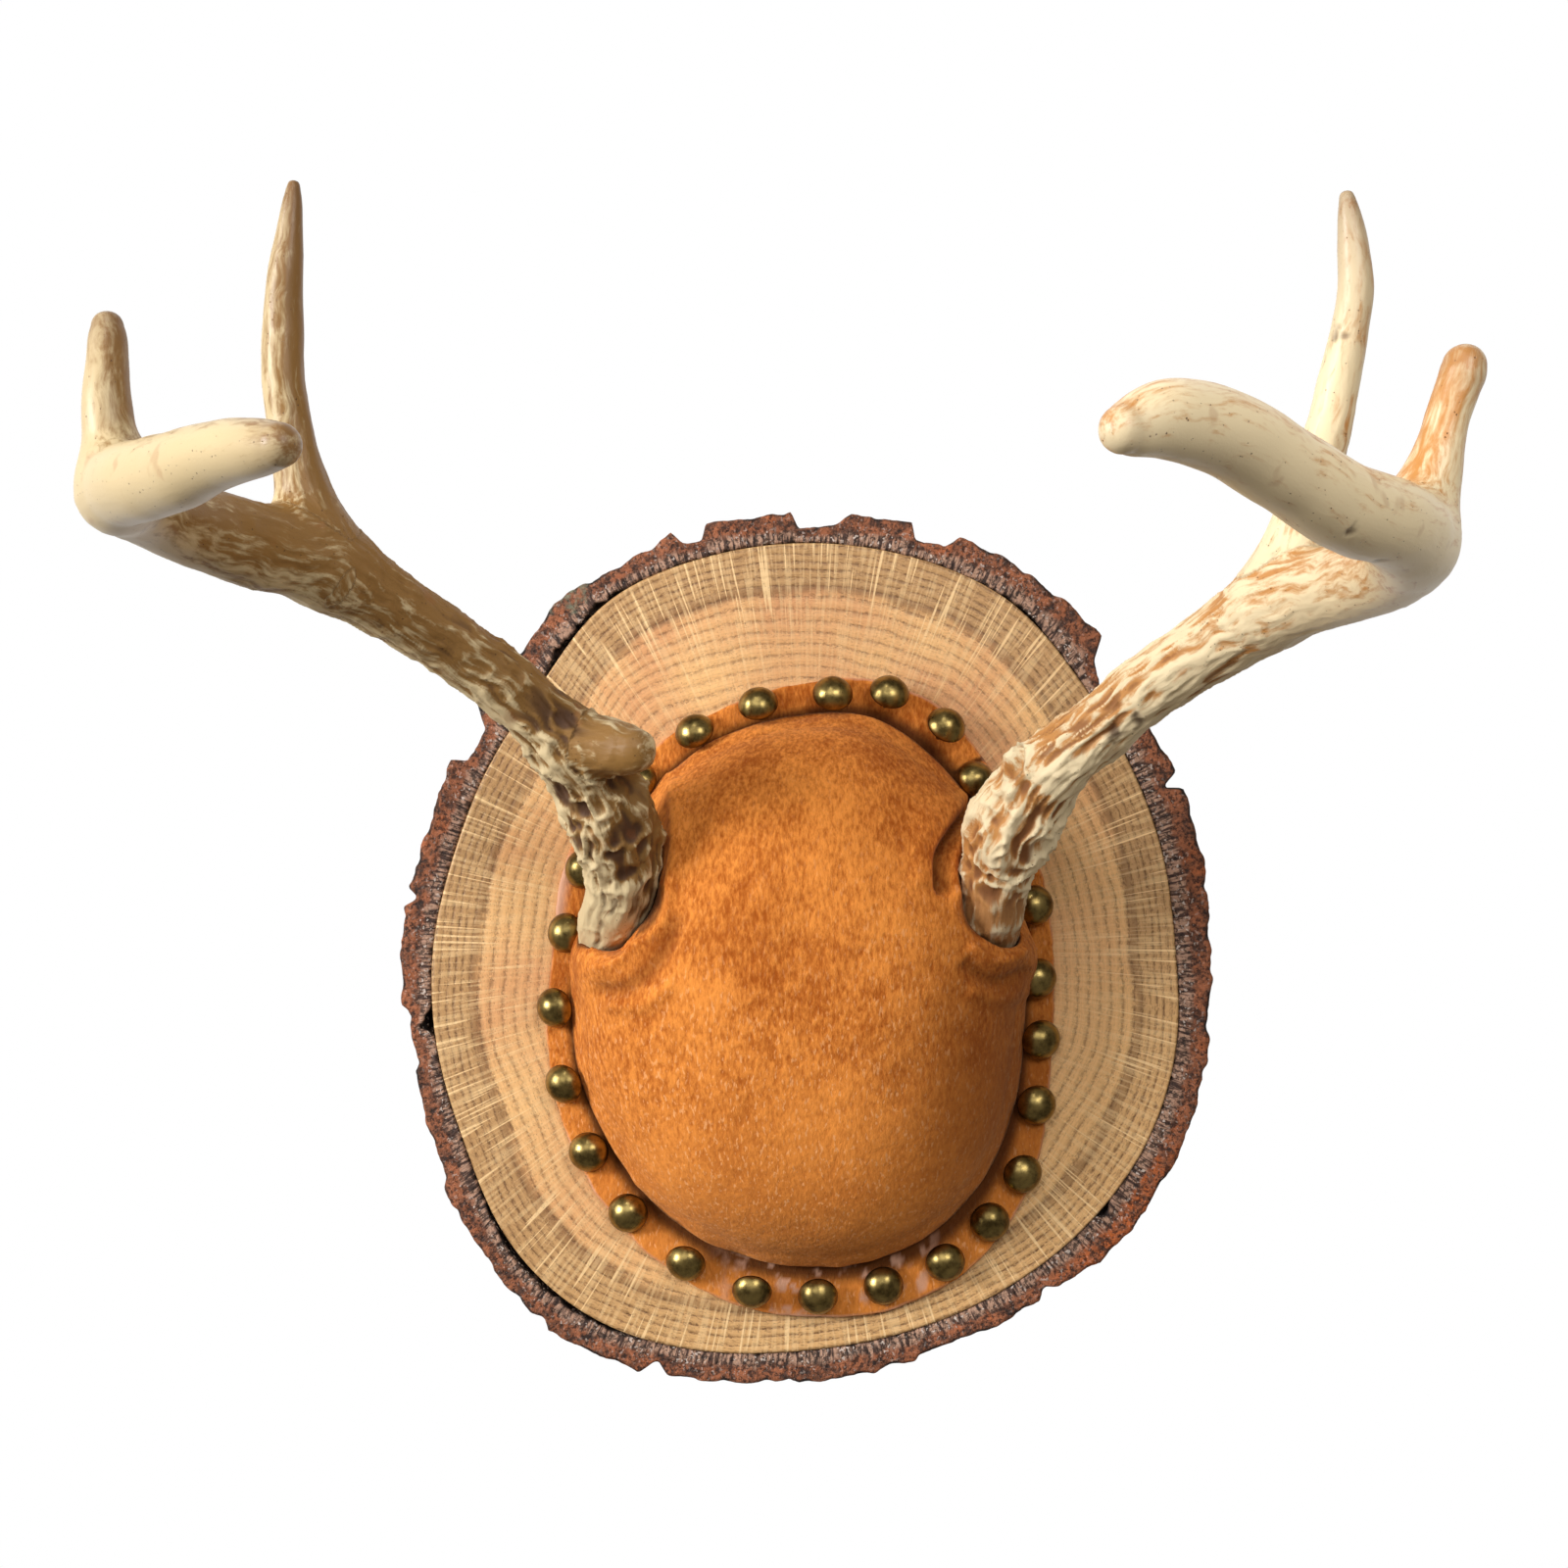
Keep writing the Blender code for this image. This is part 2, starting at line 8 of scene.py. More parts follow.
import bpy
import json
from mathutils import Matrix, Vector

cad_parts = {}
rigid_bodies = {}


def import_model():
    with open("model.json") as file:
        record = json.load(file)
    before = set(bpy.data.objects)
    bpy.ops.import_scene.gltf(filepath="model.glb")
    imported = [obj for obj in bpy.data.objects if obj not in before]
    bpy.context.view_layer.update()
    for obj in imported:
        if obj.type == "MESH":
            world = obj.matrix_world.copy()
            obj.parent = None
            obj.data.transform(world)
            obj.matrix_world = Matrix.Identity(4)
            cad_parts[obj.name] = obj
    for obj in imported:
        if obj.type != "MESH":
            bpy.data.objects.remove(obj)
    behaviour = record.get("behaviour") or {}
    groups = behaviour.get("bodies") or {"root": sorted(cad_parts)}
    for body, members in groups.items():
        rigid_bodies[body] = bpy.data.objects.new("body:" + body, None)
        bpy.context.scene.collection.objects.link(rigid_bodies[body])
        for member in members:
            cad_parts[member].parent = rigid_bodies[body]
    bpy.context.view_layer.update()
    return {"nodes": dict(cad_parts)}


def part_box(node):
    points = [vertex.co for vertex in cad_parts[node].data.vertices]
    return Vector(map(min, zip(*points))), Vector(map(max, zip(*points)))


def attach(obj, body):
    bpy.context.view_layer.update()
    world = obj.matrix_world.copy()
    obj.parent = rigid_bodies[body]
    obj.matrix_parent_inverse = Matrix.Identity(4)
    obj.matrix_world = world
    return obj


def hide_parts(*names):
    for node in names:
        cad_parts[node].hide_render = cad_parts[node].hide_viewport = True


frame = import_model()

import itertools
import json
import math

import bmesh
import bpy
import numpy
from bpy.props import FloatProperty, FloatVectorProperty, IntProperty, PointerProperty
from bpy.types import Operator, Panel, PropertyGroup
from mathutils import Vector

bl_info = {
    "name": "Antler Mounting Plaque",
    "version": (1, 0, 0),
    "blender": (4, 5, 0),
    "location": "3D View > Sidebar > Plaque",
    "description": "Models and finishes an oak slice with bark, a suede dome, brass nails and antlers",
    "category": "Add Mesh",
}

MM = 0.001
WELD = 0.00001
SLICE_FACE = -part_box("wood_slice")[0].y / MM

# Sectors that a turned piece is spun in, and evenly spaced angles at which an outline's radius is kept
SECTORS = 12
OUTLINE_ANGLES = numpy.linspace(0, math.tau, 2880, endpoint=False)

# Distance from the slice's centre to its bark, where patterns that run round it get their true length
RIM = 105

# Limbs of the antlers: rows of x, height, z and radius
LEFT_BEAM = (
    (-54, 14, 6, 8), (-51.5, 22, 12.5, 8.6), (-49, 28, 19, 9), (-49, 33, 27, 10), (-51, 38, 36, 11.8),
    (-55.5, 44, 46.5, 10.2), (-64, 53, 58.5, 8.8), (-76, 61, 70.5, 7.9), (-90, 70, 81, 7.8),
    (-104, 80, 90.5, 8.7), (-118, 90, 99, 10.2), (-131.5, 104, 101.8, 10), (-142, 122, 104.8, 9.2),
    (-147, 142, 107, 8.9), (-147, 160, 108, 8.8), (-139, 178, 107.5, 8.5), (-126.5, 196, 107.5, 8),
    (-114, 212, 109, 6.6), (-103.5, 225, 108.5, 5.3), (-97, 233, 108, 3.4),
)
LEFT_BROW = ((-60, 52, 56, 7.5), (-51.5, 57, 55, 7), (-45, 62, 54, 6.2), (-41, 66, 53.6, 3.8))
LEFT_LONG_TINE = (
    (-115, 89, 97, 8.8), (-119.5, 90.5, 108, 8.6), (-122, 92, 119, 6.4), (-124.3, 93, 131, 5.4),
    (-125.6, 94, 143, 5.2), (-125.6, 94, 155, 4.8), (-125, 95, 166, 4.3), (-124, 95, 176, 3.4),
    (-123.3, 95, 183.5, 2.6), (-122.8, 95, 189.5, 1.3),
)
LEFT_SHORT_TINE = (
    (-147, 160, 108, 8.2), (-149, 161, 118, 5.9), (-150.2, 160, 127, 5.2), (-150.6, 158, 135, 4.6),
    (-151, 156, 141.5, 4), (-151.4, 155, 145.8, 2.5),
)
RIGHT_BEAM = (
    (48.5, 13, 2, 7.4), (49.2, 21, 8, 7.7), (49.6, 27, 15.5, 8.2), (50.6, 32, 24.5, 9.2), (53, 38, 33, 10.8),
    (57.5, 44, 42.5, 10), (63.5, 51, 50.5, 9), (73, 58, 59, 8.2), (83.5, 66, 68.5, 8),
    (96, 75, 77.3, 8.5), (108.5, 86, 86, 9.6), (118, 100, 90.5, 9.7), (125.5, 118, 92.3, 9.4),
    (130, 138, 94.5, 9.6), (128, 158, 97, 9.8), (120, 176, 99, 9.3), (106, 192, 101, 9),
    (91, 206, 107, 8.5), (77.5, 219, 112, 8.3), (65.5, 230, 113, 7.5), (57.5, 237, 110.5, 5.4),
    (53.8, 241, 109, 3),
)
RIGHT_BROW = ((58.5, 50, 46, 4), (54, 53, 50.5, 3), (51.7, 55, 52.7, 1.8))
RIGHT_LONG_TINE = (
    (111, 88, 88.5, 8.8), (115.5, 92, 101, 7.8), (119.5, 96, 116, 6), (123, 99, 130, 5.4),
    (125, 101, 141, 5), (127, 103, 151.5, 4.5), (128.2, 104, 161.5, 4.2), (127.7, 104, 172, 3.6),
    (126.8, 104, 179, 2.7), (126, 104, 184.5, 1.4),
)
RIGHT_SHORT_TINE = (
    (127.5, 157, 100, 8.8), (131.8, 157, 109, 7), (134.5, 157, 118, 5.2), (136, 157, 124, 4.7),
    (138, 157, 130, 4.8), (139.5, 157, 134.3, 5), (139.8, 157, 138, 3.4),
)

# Surface along each limb: row of the limb, then height of its knobs, depth of its flutes, how brown
# it is stained and how far it is worn to a dark tip
LEFT_BEAM_SKIN = (
    (0, 0.3, 0.7, 0, 0), (2, 0.7, 0.9, 0.1, 0), (3, 1.7, 0.9, 0.7, 0), (4.2, 2.4, 0.7, 0.8, 0),
    (5.5, 1.6, 1, 0.8, 0), (7, 0.7, 1, 0.8, 0), (9, 0.35, 0.7, 0.85, 0), (11, 0.15, 0.35, 0.75, 0),
    (12.5, 0.05, 0.15, 0.45, 0), (14, 0, 0.08, 0.25, 0), (17.4, 0, 0, 0.3, 0), (18.3, 0, 0, 0.5, 0.2),
    (19, 0, 0, 0.6, 0.8),
)
LEFT_BROW_SKIN = ((0, 0.9, 0.5, 0.6, 0), (2, 0.3, 0.2, 0.75, 0), (3, 0.1, 0.1, 0.75, 0))
LEFT_LONG_SKIN = ((0, 0.1, 0.3, 0.7, 0), (4, 0, 0.2, 0.75, 0), (7, 0, 0.08, 0.75, 0.3), (9, 0, 0, 0.7, 0.7))
LEFT_SHORT_SKIN = ((0, 0, 0.1, 0.3, 0), (3, 0, 0.1, 0.55, 0.2), (5, 0, 0, 0.6, 0.7))
RIGHT_BEAM_SKIN = (
    (0, 0.3, 1, 1.2, 0.6), (2, 0.6, 1, 1.1, 0.45), (3, 1.6, 0.7, 0.55, 0), (4.2, 2.2, 0.6, 0.45, 0),
    (5.5, 1.3, 1, 0.45, 0), (7, 0.5, 1.2, 0.45, 0), (9, 0.2, 0.9, 0.4, 0), (11, 0.1, 0.4, 0.35, 0),
    (13, 0.05, 0.12, 0.45, 0), (16, 0, 0.05, 0.4, 0), (20, 0, 0, 0.35, 0), (21, 0, 0, 0.4, 0.5),
)
RIGHT_BROW_SKIN = ((0, 1.0, 0.4, 0.5, 0), (2, 0.6, 0.2, 0.4, 0))
RIGHT_LONG_SKIN = ((0, 0.1, 0.4, 0.4, 0), (4, 0, 0.2, 0.35, 0), (7, 0, 0.05, 0.35, 0.5), (9, 0, 0, 0.4, 0.8))
RIGHT_SHORT_SKIN = ((0, 0, 0.1, 0.5, 0), (3, 0, 0.1, 0.7, 0), (6, 0, 0, 0.7, 0.5))

# Dark marks and nicks in the antlers: x, height, z and width
ANTLER_MARKS = (
    (-107, 86, 79.5, 2.2), (-104, 88, 83, 1.4), (77, 66, 58, 2), (82, 70, 61.5, 1.5), (107.5, 202, 94.5, 1.5),
    (116, 185, 88.5, 1.3), (123, 110, 150, 2.6), (-140, 170, 100, 1.6),
)

# How far each antler's foot reaches on into the dome
FOOT_DEPTH = 4

# Where the dome bulges round the antlers' feet: x, z, radius and height
DOME_BULGES = ((56, -1.5, 9, 5.5), (-57, -2, 9, 4.5), (-36, 40, 12, 2), (44, 38, 9, 2.5))

# Mouths of the dome's pockets: rows of x, height, z and radius, opening towards the front
MOUTHS = (
    ((-50.5, 16, 16, 8.6), (-50.5, 25, 16.5, 9.8), (-50.5, 33, 16.5, 12), (-50.5, 46, 16, 15)),
    ((-48, 24, 28, 9.5), (-48, 46, 28, 11.5)),
    ((-47.5, 28, 39, 9.5), (-47.5, 48, 39, 11.5)),
    ((49.8, 16, 13.5, 7.2), (49.8, 26, 13.2, 7.8), (49.8, 34, 13, 9), (49.8, 46, 12.5, 11)),
)

# Shallow hollow below the left pocket, as in MOUTHS
LIP_HOLLOW = ((-49.5, 24.5, 8.5, 8), (-62, 37, 7, 9.5))

# Folds in the dome's suede: its x and z points, half width, and height over the suede (below 0, a crease)
DOME_FOLDS = (
    (((-37, 50), (-34.5, 36), (-35, 22), (-40.5, 9), (-48, 1), (-60, -5)), 2.4, 1.9),
    (((-58, -9.5), (-47, -8), (-38.5, 0), (-33, 12)), 2.4, -1.6),
    (((-54, -13), (-42, -12), (-34, -5)), 2.2, 1.0),
    (((48, 42.5), (41.6, 35.6), (36.2, 28), (35.2, 21.5), (36, 16)), 1.7, -4.4),
    (((44.5, 34), (40.4, 27), (39.8, 18), (41, 10)), 1.8, 1.5),
    (((33, 40), (30, 28), (30.5, 18)), 3.2, 0.9),
    (((42, 3.5), (50, -1.5), (60, 1.5)), 1.6, 1.5),
    (((40, -1), (50, -7), (61, -4)), 2.0, -1.5),
    (((42, -8), (52, -12), (61, -10)), 2.4, 0.8),
)

# Knot that bends the slice's rings: x, z, width and how far it pushes them
KNOT_X, KNOT_Z, KNOT_WIDTH, KNOT_PUSH = -48, 64, 15, 5.5

# Stretches of the strip, in degrees round the slice: middle, half width and softness of the ends
FRAYED, WORN = (166, 8, 3), (275, 18, 6)

# Spots on the bark and the dome, in metres
RUST_PLACE = (0.093, -0.02, -0.078)
LICHEN_PLACE = (-0.068, -0.018, 0.1)
# Middle of the painted shade on the dome's lower right
PAINTED_SHADE_PLACE = (0.066, -0.05, -0.034)

# Nails, from 0 where a head rests on the suede: radius and height of a head, then its hollow and the shank
NAIL_RADIUS, NAIL_RISE = 5.5, 4.0
NAIL_UNDERSIDE = (
    (NAIL_RADIUS, -0.25), (NAIL_RADIUS - 0.4, -0.35), (NAIL_RADIUS - 0.9, 0.1), (1.4, 0.6), (0.9, 0),
    (0.9, -10.5), (0, -13),
)

# Backdrop, in metres: height of its floor, where its curve starts, how far the curve reaches, and its top
FLOOR_Z, FLOOR_REACH, COVE_RADIUS, COVE_TOP = -1.2, 2.6, 1.2, 5.5

# Lights, in metres: name, place, size and the setting that holds the power
LIGHTS = (
    ("window", (-1.7, -1.0, 0.5), 0.75, "window_power"),
    ("room", (-0.5, -1.9, 1.0), 1.2, "room_power"),
    ("near_light", (0.32, -0.82, 0.42), 0.35, "near_power"),
    ("overhead_lamp", (-0.15, -0.75, 1.0), 0.12, "lamp_power"),
)


def soft_step(values, low, high):
    """0 below low, 1 above high, and a smooth rise between."""
    share = numpy.clip((values - low) / (high - low), 0, 1)
    return share * share * (3 - 2 * share)


def scatter(cells, seed):
    """Repeatable random number from 0 to 1 for each row of whole numbers."""
    mixed = (cells.astype(numpy.int64) * (73856093, 19349663, 83492791)).sum(axis=-1) + seed * 2654435761
    mixed = (mixed ^ (mixed >> 13)) * 1274126177
    mixed = (mixed ^ (mixed >> 15)) * 2246822519
    return ((mixed ^ (mixed >> 16)) & 0xFFFFF) / 0xFFFFF


def clouds(points, size, seed=0):
    """Smooth random field from -1 to 1 whose bumps are about as wide as size."""
    places = points / size
    cells = numpy.floor(places)
    parts = places - cells
    parts = parts * parts * (3 - 2 * parts)
    total = numpy.zeros(len(points))
    for corner in itertools.product((0, 1), repeat=3):
        shares = numpy.where(corner, parts, 1 - parts).prod(axis=1)
        total += shares * scatter(cells + corner, seed)
    return 2 * total - 1


def rough(points, size, seed=0, layers=3):
    """Clouds with finer and lower clouds on them."""
    return sum(clouds(points, size / 2 ** layer, seed + layer) / 2 ** layer for layer in range(layers))


def pebbles(points, size, seed=0):
    """0 in the seams between uneven pebbles about as wide as size, rising to 1 on top of them."""
    places = points / size
    cells = numpy.floor(places)
    nearest = numpy.full(len(points), 9.0)
    second = nearest.copy()
    for shift in itertools.product((-1, 0, 1), repeat=3):
        cell = cells + shift
        middle = cell + numpy.stack([scatter(cell, seed + axis) for axis in range(3)], axis=1)
        away = numpy.linalg.norm(places - middle, axis=1)
        second = numpy.minimum(second, numpy.maximum(nearest, away))
        nearest = numpy.minimum(nearest, away)
    return soft_step(second - nearest, 0, 0.55)


def smooth_rows(rows, steps):
    """More rows on a smooth curve through the given ones."""
    rows = numpy.array(rows, dtype=float)
    finer = []
    for index in range(len(rows) - 1):
        near = numpy.clip(numpy.arange(index - 1, index + 3), 0, len(rows) - 1)
        before, start, end, after = rows[near]
        for step in range(steps):
            part = step / steps
            bend = (2 * before - 5 * start + 4 * end - after) * part ** 2
            bend += (3 * start - before - 3 * end + after) * part ** 3
            finer.append(start + 0.5 * ((end - before) * part + bend))
    finer.append(rows[-1])
    return numpy.array(finer)


def read_points(mesh):
    points = numpy.empty(len(mesh.vertices) * 3)
    mesh.vertices.foreach_get("co", points)
    return points.reshape(-1, 3)


def read_normals(mesh):
    normals = numpy.empty(len(mesh.vertices) * 3)
    mesh.vertex_normals.foreach_get("vector", normals)
    return normals.reshape(-1, 3)


def set_points(mesh, points):
    """Gives a mesh its points, from millimetres to metres."""
    mesh.vertices.foreach_set("co", (points * MM).ravel())
    mesh.update()


def keep_values(mesh, name, values):
    """Keeps a number or a vector on each point, for the material to read."""
    kind, field = ("FLOAT", "value") if values.ndim == 1 else ("FLOAT_VECTOR", "vector")
    mesh.attributes.new(name, kind, "POINT").data.foreach_set(field, values.astype(numpy.float32).ravel())


def round_place(points):
    """Radius and angle of points round the slice's centre."""
    return numpy.hypot(points[:, 0], points[:, 2]), numpy.arctan2(points[:, 2], points[:, 0]) % math.tau


def on_ring(angles, radii, y):
    """Points at angles and radii round the slice's centre."""
    return numpy.stack((numpy.cos(angles) * radii, y + 0 * angles, numpy.sin(angles) * radii), axis=1)


def flat_loops(node, y):
    """Loops of x and z corners round the slice's centre that edge a node's flat face at y, largest last."""
    solid = bmesh.new()
    solid.from_mesh(frame["nodes"][node].data)
    bmesh.ops.remove_doubles(solid, verts=solid.verts, dist=WELD)
    edges = set()
    for edge in solid.edges:
        level = all(abs(corner.co.y - y * MM) < 2 * WELD for corner in edge.verts)
        if level and sum(abs(face.normal.y) > 0.9 for face in edge.link_faces) == 1:
            edges.add(edge)
    loops = []
    while edges:
        corner = edges.pop().verts[1]
        loop = []
        while corner:
            loop.append((corner.co.x / MM, corner.co.z / MM))
            following = next((edge for edge in corner.link_edges if edge in edges), None)
            edges.discard(following)
            corner = following.other_vert(corner) if following else None
        loop = numpy.array(loop)
        if (loop.min(axis=0) < 0).all() and (loop.max(axis=0) > 0).all():
            loops.append(loop)
    solid.free()
    return sorted(loops, key=lambda loop: numpy.hypot(*loop.T).mean())


def outline(loop, soften=0.0):
    """Radius of a loop at OUTLINE_ANGLES, smoothed over some degrees."""
    shares = numpy.linspace(0, 1, 24, endpoint=False)[:, None, None]
    path = (loop + (numpy.roll(loop, -1, axis=0) - loop) * shares).reshape(-1, 2)
    angles = numpy.arctan2(path[:, 1], path[:, 0]) % math.tau
    order = numpy.argsort(angles)
    radii = numpy.interp(OUTLINE_ANGLES, angles[order], numpy.hypot(*path[order].T), period=math.tau)
    if soften:
        away = numpy.minimum(OUTLINE_ANGLES, math.tau - OUTLINE_ANGLES)
        weights = numpy.exp(-(away / math.radians(soften)) ** 2)
        radii = numpy.fft.ifft(numpy.fft.fft(radii) * numpy.fft.fft(weights / weights.sum())).real
    return radii


def read_outline(radii, angles):
    return numpy.interp(angles, OUTLINE_ANGLES, radii, period=math.tau)


def turned(name, profile, steps, closed=False):
    """Mesh of a half outline of radius and y, spun round the Y axis one sector after another."""
    solid = bmesh.new()
    corners = [solid.verts.new((radius, y, 0)) for radius, y in profile]
    following = corners[1:] + corners[:1] if closed else corners[1:]
    edges = [solid.edges.new(pair) for pair in zip(corners, following)]
    sector = math.tau / SECTORS
    round_y = {"cent": (0, 0, 0), "axis": (0, 1, 0), "dvec": (0, 0, 0)}
    bmesh.ops.spin(solid, geom=corners + edges, angle=sector, steps=steps // SECTORS, **round_y)
    bmesh.ops.spin(solid, geom=solid.verts[:] + solid.edges[:] + solid.faces[:], angle=math.tau - sector,
                   steps=SECTORS - 1, use_duplicate=True, **round_y)
    bmesh.ops.remove_doubles(solid, verts=solid.verts, dist=WELD)
    bmesh.ops.recalc_face_normals(solid, faces=solid.faces)
    mesh = bpy.data.meshes.new(name)
    solid.to_mesh(mesh)
    solid.free()
    mesh.shade_smooth()
    return mesh


def weld(mesh):
    """Merges the doubled points of a mesh and turns its faces outwards."""
    solid = bmesh.new()
    solid.from_mesh(mesh)
    bmesh.ops.remove_doubles(solid, verts=solid.verts, dist=WELD)
    bmesh.ops.recalc_face_normals(solid, faces=solid.faces)
    solid.to_mesh(mesh)
    solid.free()


def modified(mesh, *modifiers):
    """Mesh after modifiers, each given as its kind and its settings."""
    piece = bpy.data.objects.new(mesh.name, mesh)
    bpy.context.scene.collection.objects.link(piece)
    for kind, settings in modifiers:
        modifier = piece.modifiers.new(kind, kind)
        for setting, value in settings.items():
            setattr(modifier, setting, value)
    bpy.context.view_layer.update()
    result = bpy.data.meshes.new_from_object(piece.evaluated_get(bpy.context.evaluated_depsgraph_get()))
    bpy.data.objects.remove(piece)
    return result


def add_piece(name, mesh, slot, material, *nodes):
    """Object of the plaque that stands for one or more CAD nodes."""
    mesh.materials.clear()
    mesh.materials.append(material)
    piece = bpy.data.objects.new(name, mesh)
    bpy.context.scene.collection.objects.link(piece)
    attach(piece, "root")
    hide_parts(*nodes)
    return piece


def paint(red, green, blue):
    """Linear colour from the 0 to 255 values of a picture."""
    shares = (value / 255 for value in (red, green, blue))
    return [share / 12.92 if share <= 0.04045 else ((share + 0.055) / 1.055) ** 2.4 for share in shares]


def colour_property(name, description, colour):
    return FloatVectorProperty(name=name, description=description, default=paint(*colour),
                               size=3, min=0, max=1, subtype="COLOR")


def length_property(name, description, millimetres):
    return FloatProperty(name=name, description=description, default=millimetres * MM,
                         min=0, precision=5, unit="LENGTH")


def power_property(name, description, watts):
    return FloatProperty(name=name, description=description, default=watts, min=0, unit="POWER")


def glow_property(name, description, strength):
    return FloatProperty(name=name, description=description, default=strength, min=0)


class Finish:
    """Material that is built node by node: each call adds a node and gives back its output."""

    def __init__(self, name, **sockets):
        self.material = bpy.data.materials.new(name)
        self.material.use_nodes = True
        self.tree = self.material.node_tree
        self.shader = self.tree.nodes["Principled BSDF"]
        for socket, value in sockets.items():
            self.shader.inputs[socket.replace("_", " ")].default_value = value
        self.place = self.node("TexCoord", {}, "Object")

    def node(self, kind, inputs, output=0, **settings):
        node = self.tree.nodes.new("ShaderNode" + kind)
        for setting, value in settings.items():
            setattr(node, setting, value)
        for socket, value in inputs.items():
            if isinstance(value, bpy.types.NodeSocket):
                self.tree.links.new(value, node.inputs[socket])
            else:
                node.inputs[socket].default_value = value
        return node.outputs[output]

    def value(self, name):
        """Number that the mesh keeps on its points."""
        return self.node("Attribute", {}, "Fac", attribute_name=name)

    def vector(self, name):
        return self.node("Attribute", {}, "Vector", attribute_name=name)

    def math(self, operation, *values):
        return self.node("Math", dict(enumerate(values)), operation=operation)

    def times(self, first, second):
        return self.math("MULTIPLY", first, second)

    def plus(self, first, second):
        return self.math("ADD", first, second)

    def sway(self, value, width):
        """A value from 0 to 1 made to run over a width round 0."""
        return self.times(self.plus(value, -0.5), width)

    def far_from(self, place):
        """Distance in metres from a place."""
        return self.node("VectorMath", {0: self.place, 1: place}, "Value", operation="DISTANCE")

    def toward(self, direction):
        """How far it lies in a direction, in metres times the direction's length."""
        return self.node("VectorMath", {0: self.place, 1: direction}, "Value", operation="DOT_PRODUCT")

    def noise(self, size, detail=3.0, roughness=0.55, place=None, distortion=0.0):
        """Noise from 0 to 1 with features about as wide as size in millimetres."""
        inputs = {"Vector": place or self.place, "Scale": 1 / (size * MM), "Detail": detail,
                  "Roughness": roughness, "Distortion": distortion}
        return self.node("TexNoise", inputs)

    def cells(self, size, place=None, feature="F1"):
        inputs = {"Vector": place or self.place, "Scale": 1 / (size * MM)}
        return self.node("TexVoronoi", inputs, "Distance", feature=feature)

    def between(self, value, low, high):
        """0 below low, 1 above high, and a smooth rise between, or a fall where high is the lower."""
        inputs = {"Value": value, "From Min": low, "From Max": high}
        return self.node("MapRange", inputs, interpolation_type="SMOOTHSTEP")

    def ramp(self, factor, *stops):
        """Number read from stops of a place and a value."""
        output = self.node("ValToRGB", {"Fac": factor})
        elements = output.node.color_ramp.elements
        for _ in stops[2:]:
            elements.new(0.5)
        for element, (place, value) in zip(elements, stops):
            element.position = place
            element.color = (value, value, value, 1)
        return output

    def mix(self, factor, first, second, blend="MIX"):
        colours = {6: first, 7: second}
        colours = {socket: (*colour, 1) if isinstance(colour, (tuple, list)) else colour
                   for socket, colour in colours.items()}
        return self.node("Mix", {0: factor, **colours}, 2, data_type="RGBA", blend_type=blend)

    def stretched(self, place, scale):
        """Place measured with its own scale on each axis."""
        return self.node("VectorMath", {0: place, 1: scale}, operation="MULTIPLY")

    def finish(self, colour, roughness, *bumps):
        """Joins the colour, the roughness and bumps of a height and its depth in millimetres."""
        self.tree.links.new(colour, self.shader.inputs["Base Color"])
        if isinstance(roughness, bpy.types.NodeSocket):
            self.tree.links.new(roughness, self.shader.inputs["Roughness"])
        else:
            self.shader.inputs["Roughness"].default_value = roughness
        normal = None
        for height, depth in bumps:
            inputs = {"Strength": 1.0, "Distance": depth * MM, "Height": height}
            if normal:
                inputs["Normal"] = normal
            normal = self.node("Bump", inputs)
        if normal:
            self.tree.links.new(normal, self.shader.inputs["Normal"])
        return self.material


class SliceLooks(PropertyGroup):
    """Oak slice."""

    ring_gap: length_property("Ring gap", "Distance between growth rings in the heartwood", 3.3)
    outer_ring_gap: length_property("Outer ring gap", "Distance between growth rings in the sapwood", 2.1)
    sapwood_depth: length_property("Sapwood", "Depth of the sapwood, measured in from the bark", 12)
    relief: length_property("Relief", "Depth of the growth rings in the sawn face", 0.12)
    heartwood: colour_property("Heartwood", "Colour of the heartwood", (218, 158, 106))
    sapwood: colour_property("Sapwood", "Colour of the sapwood", (190, 148, 98))
    pale_wood: colour_property("Pale wood", "Colour of the paler wood at the lower right", (236, 186, 124))
    ring_line: colour_property("Ring line", "Colour of the rows of pores", (98, 62, 32))
    ray: colour_property("Ray", "Colour of the rays that cross the rings", (240, 204, 150))


class BarkLooks(PropertyGroup):
    """Bark round the slice."""

    roughness_height: length_property("Ridges", "Height of the ridges on the outer side", 0.9)
    face_height: length_property("Sawn face", "Unevenness of the sawn face", 0.45)
    outer: colour_property("Outer bark", "Colour of the outer plates", (168, 102, 68))
    inner: colour_property("Inner bark", "Colour of the inner bark", (190, 150, 126))
    crevice: colour_property("Crevice", "Colour of crevices", (30, 20, 18))
    orange: colour_property("Orange bark", "Colour of the rusty patches", (196, 104, 52))


class SuedeLooks(PropertyGroup):
    """Suede dome and strip."""

    voxel: length_property("Mesh size", "Size of the dome's faces", 0.8)
    pocket_gap: length_property("Pocket gap", "Gap between the suede and an antler's foot", 1.0)
    unevenness: length_property("Unevenness", "Height of the soft waves in the suede", 0.35)
    strip_loft: length_property("Strip loft", "How far the strip bulges between its nails", 0.7)
    light: colour_property("Light suede", "Colour of brushed nap", (228, 142, 62))
    dark: colour_property("Dark suede", "Colour of nap pressed down", (158, 78, 18))
    lap_angle: FloatProperty(name="Lap", description="Degrees round the slice at which the strip's ends lap",
                             default=50)
    edge: colour_property("Cut edge", "Colour of the strip's cut edge", (206, 158, 132))


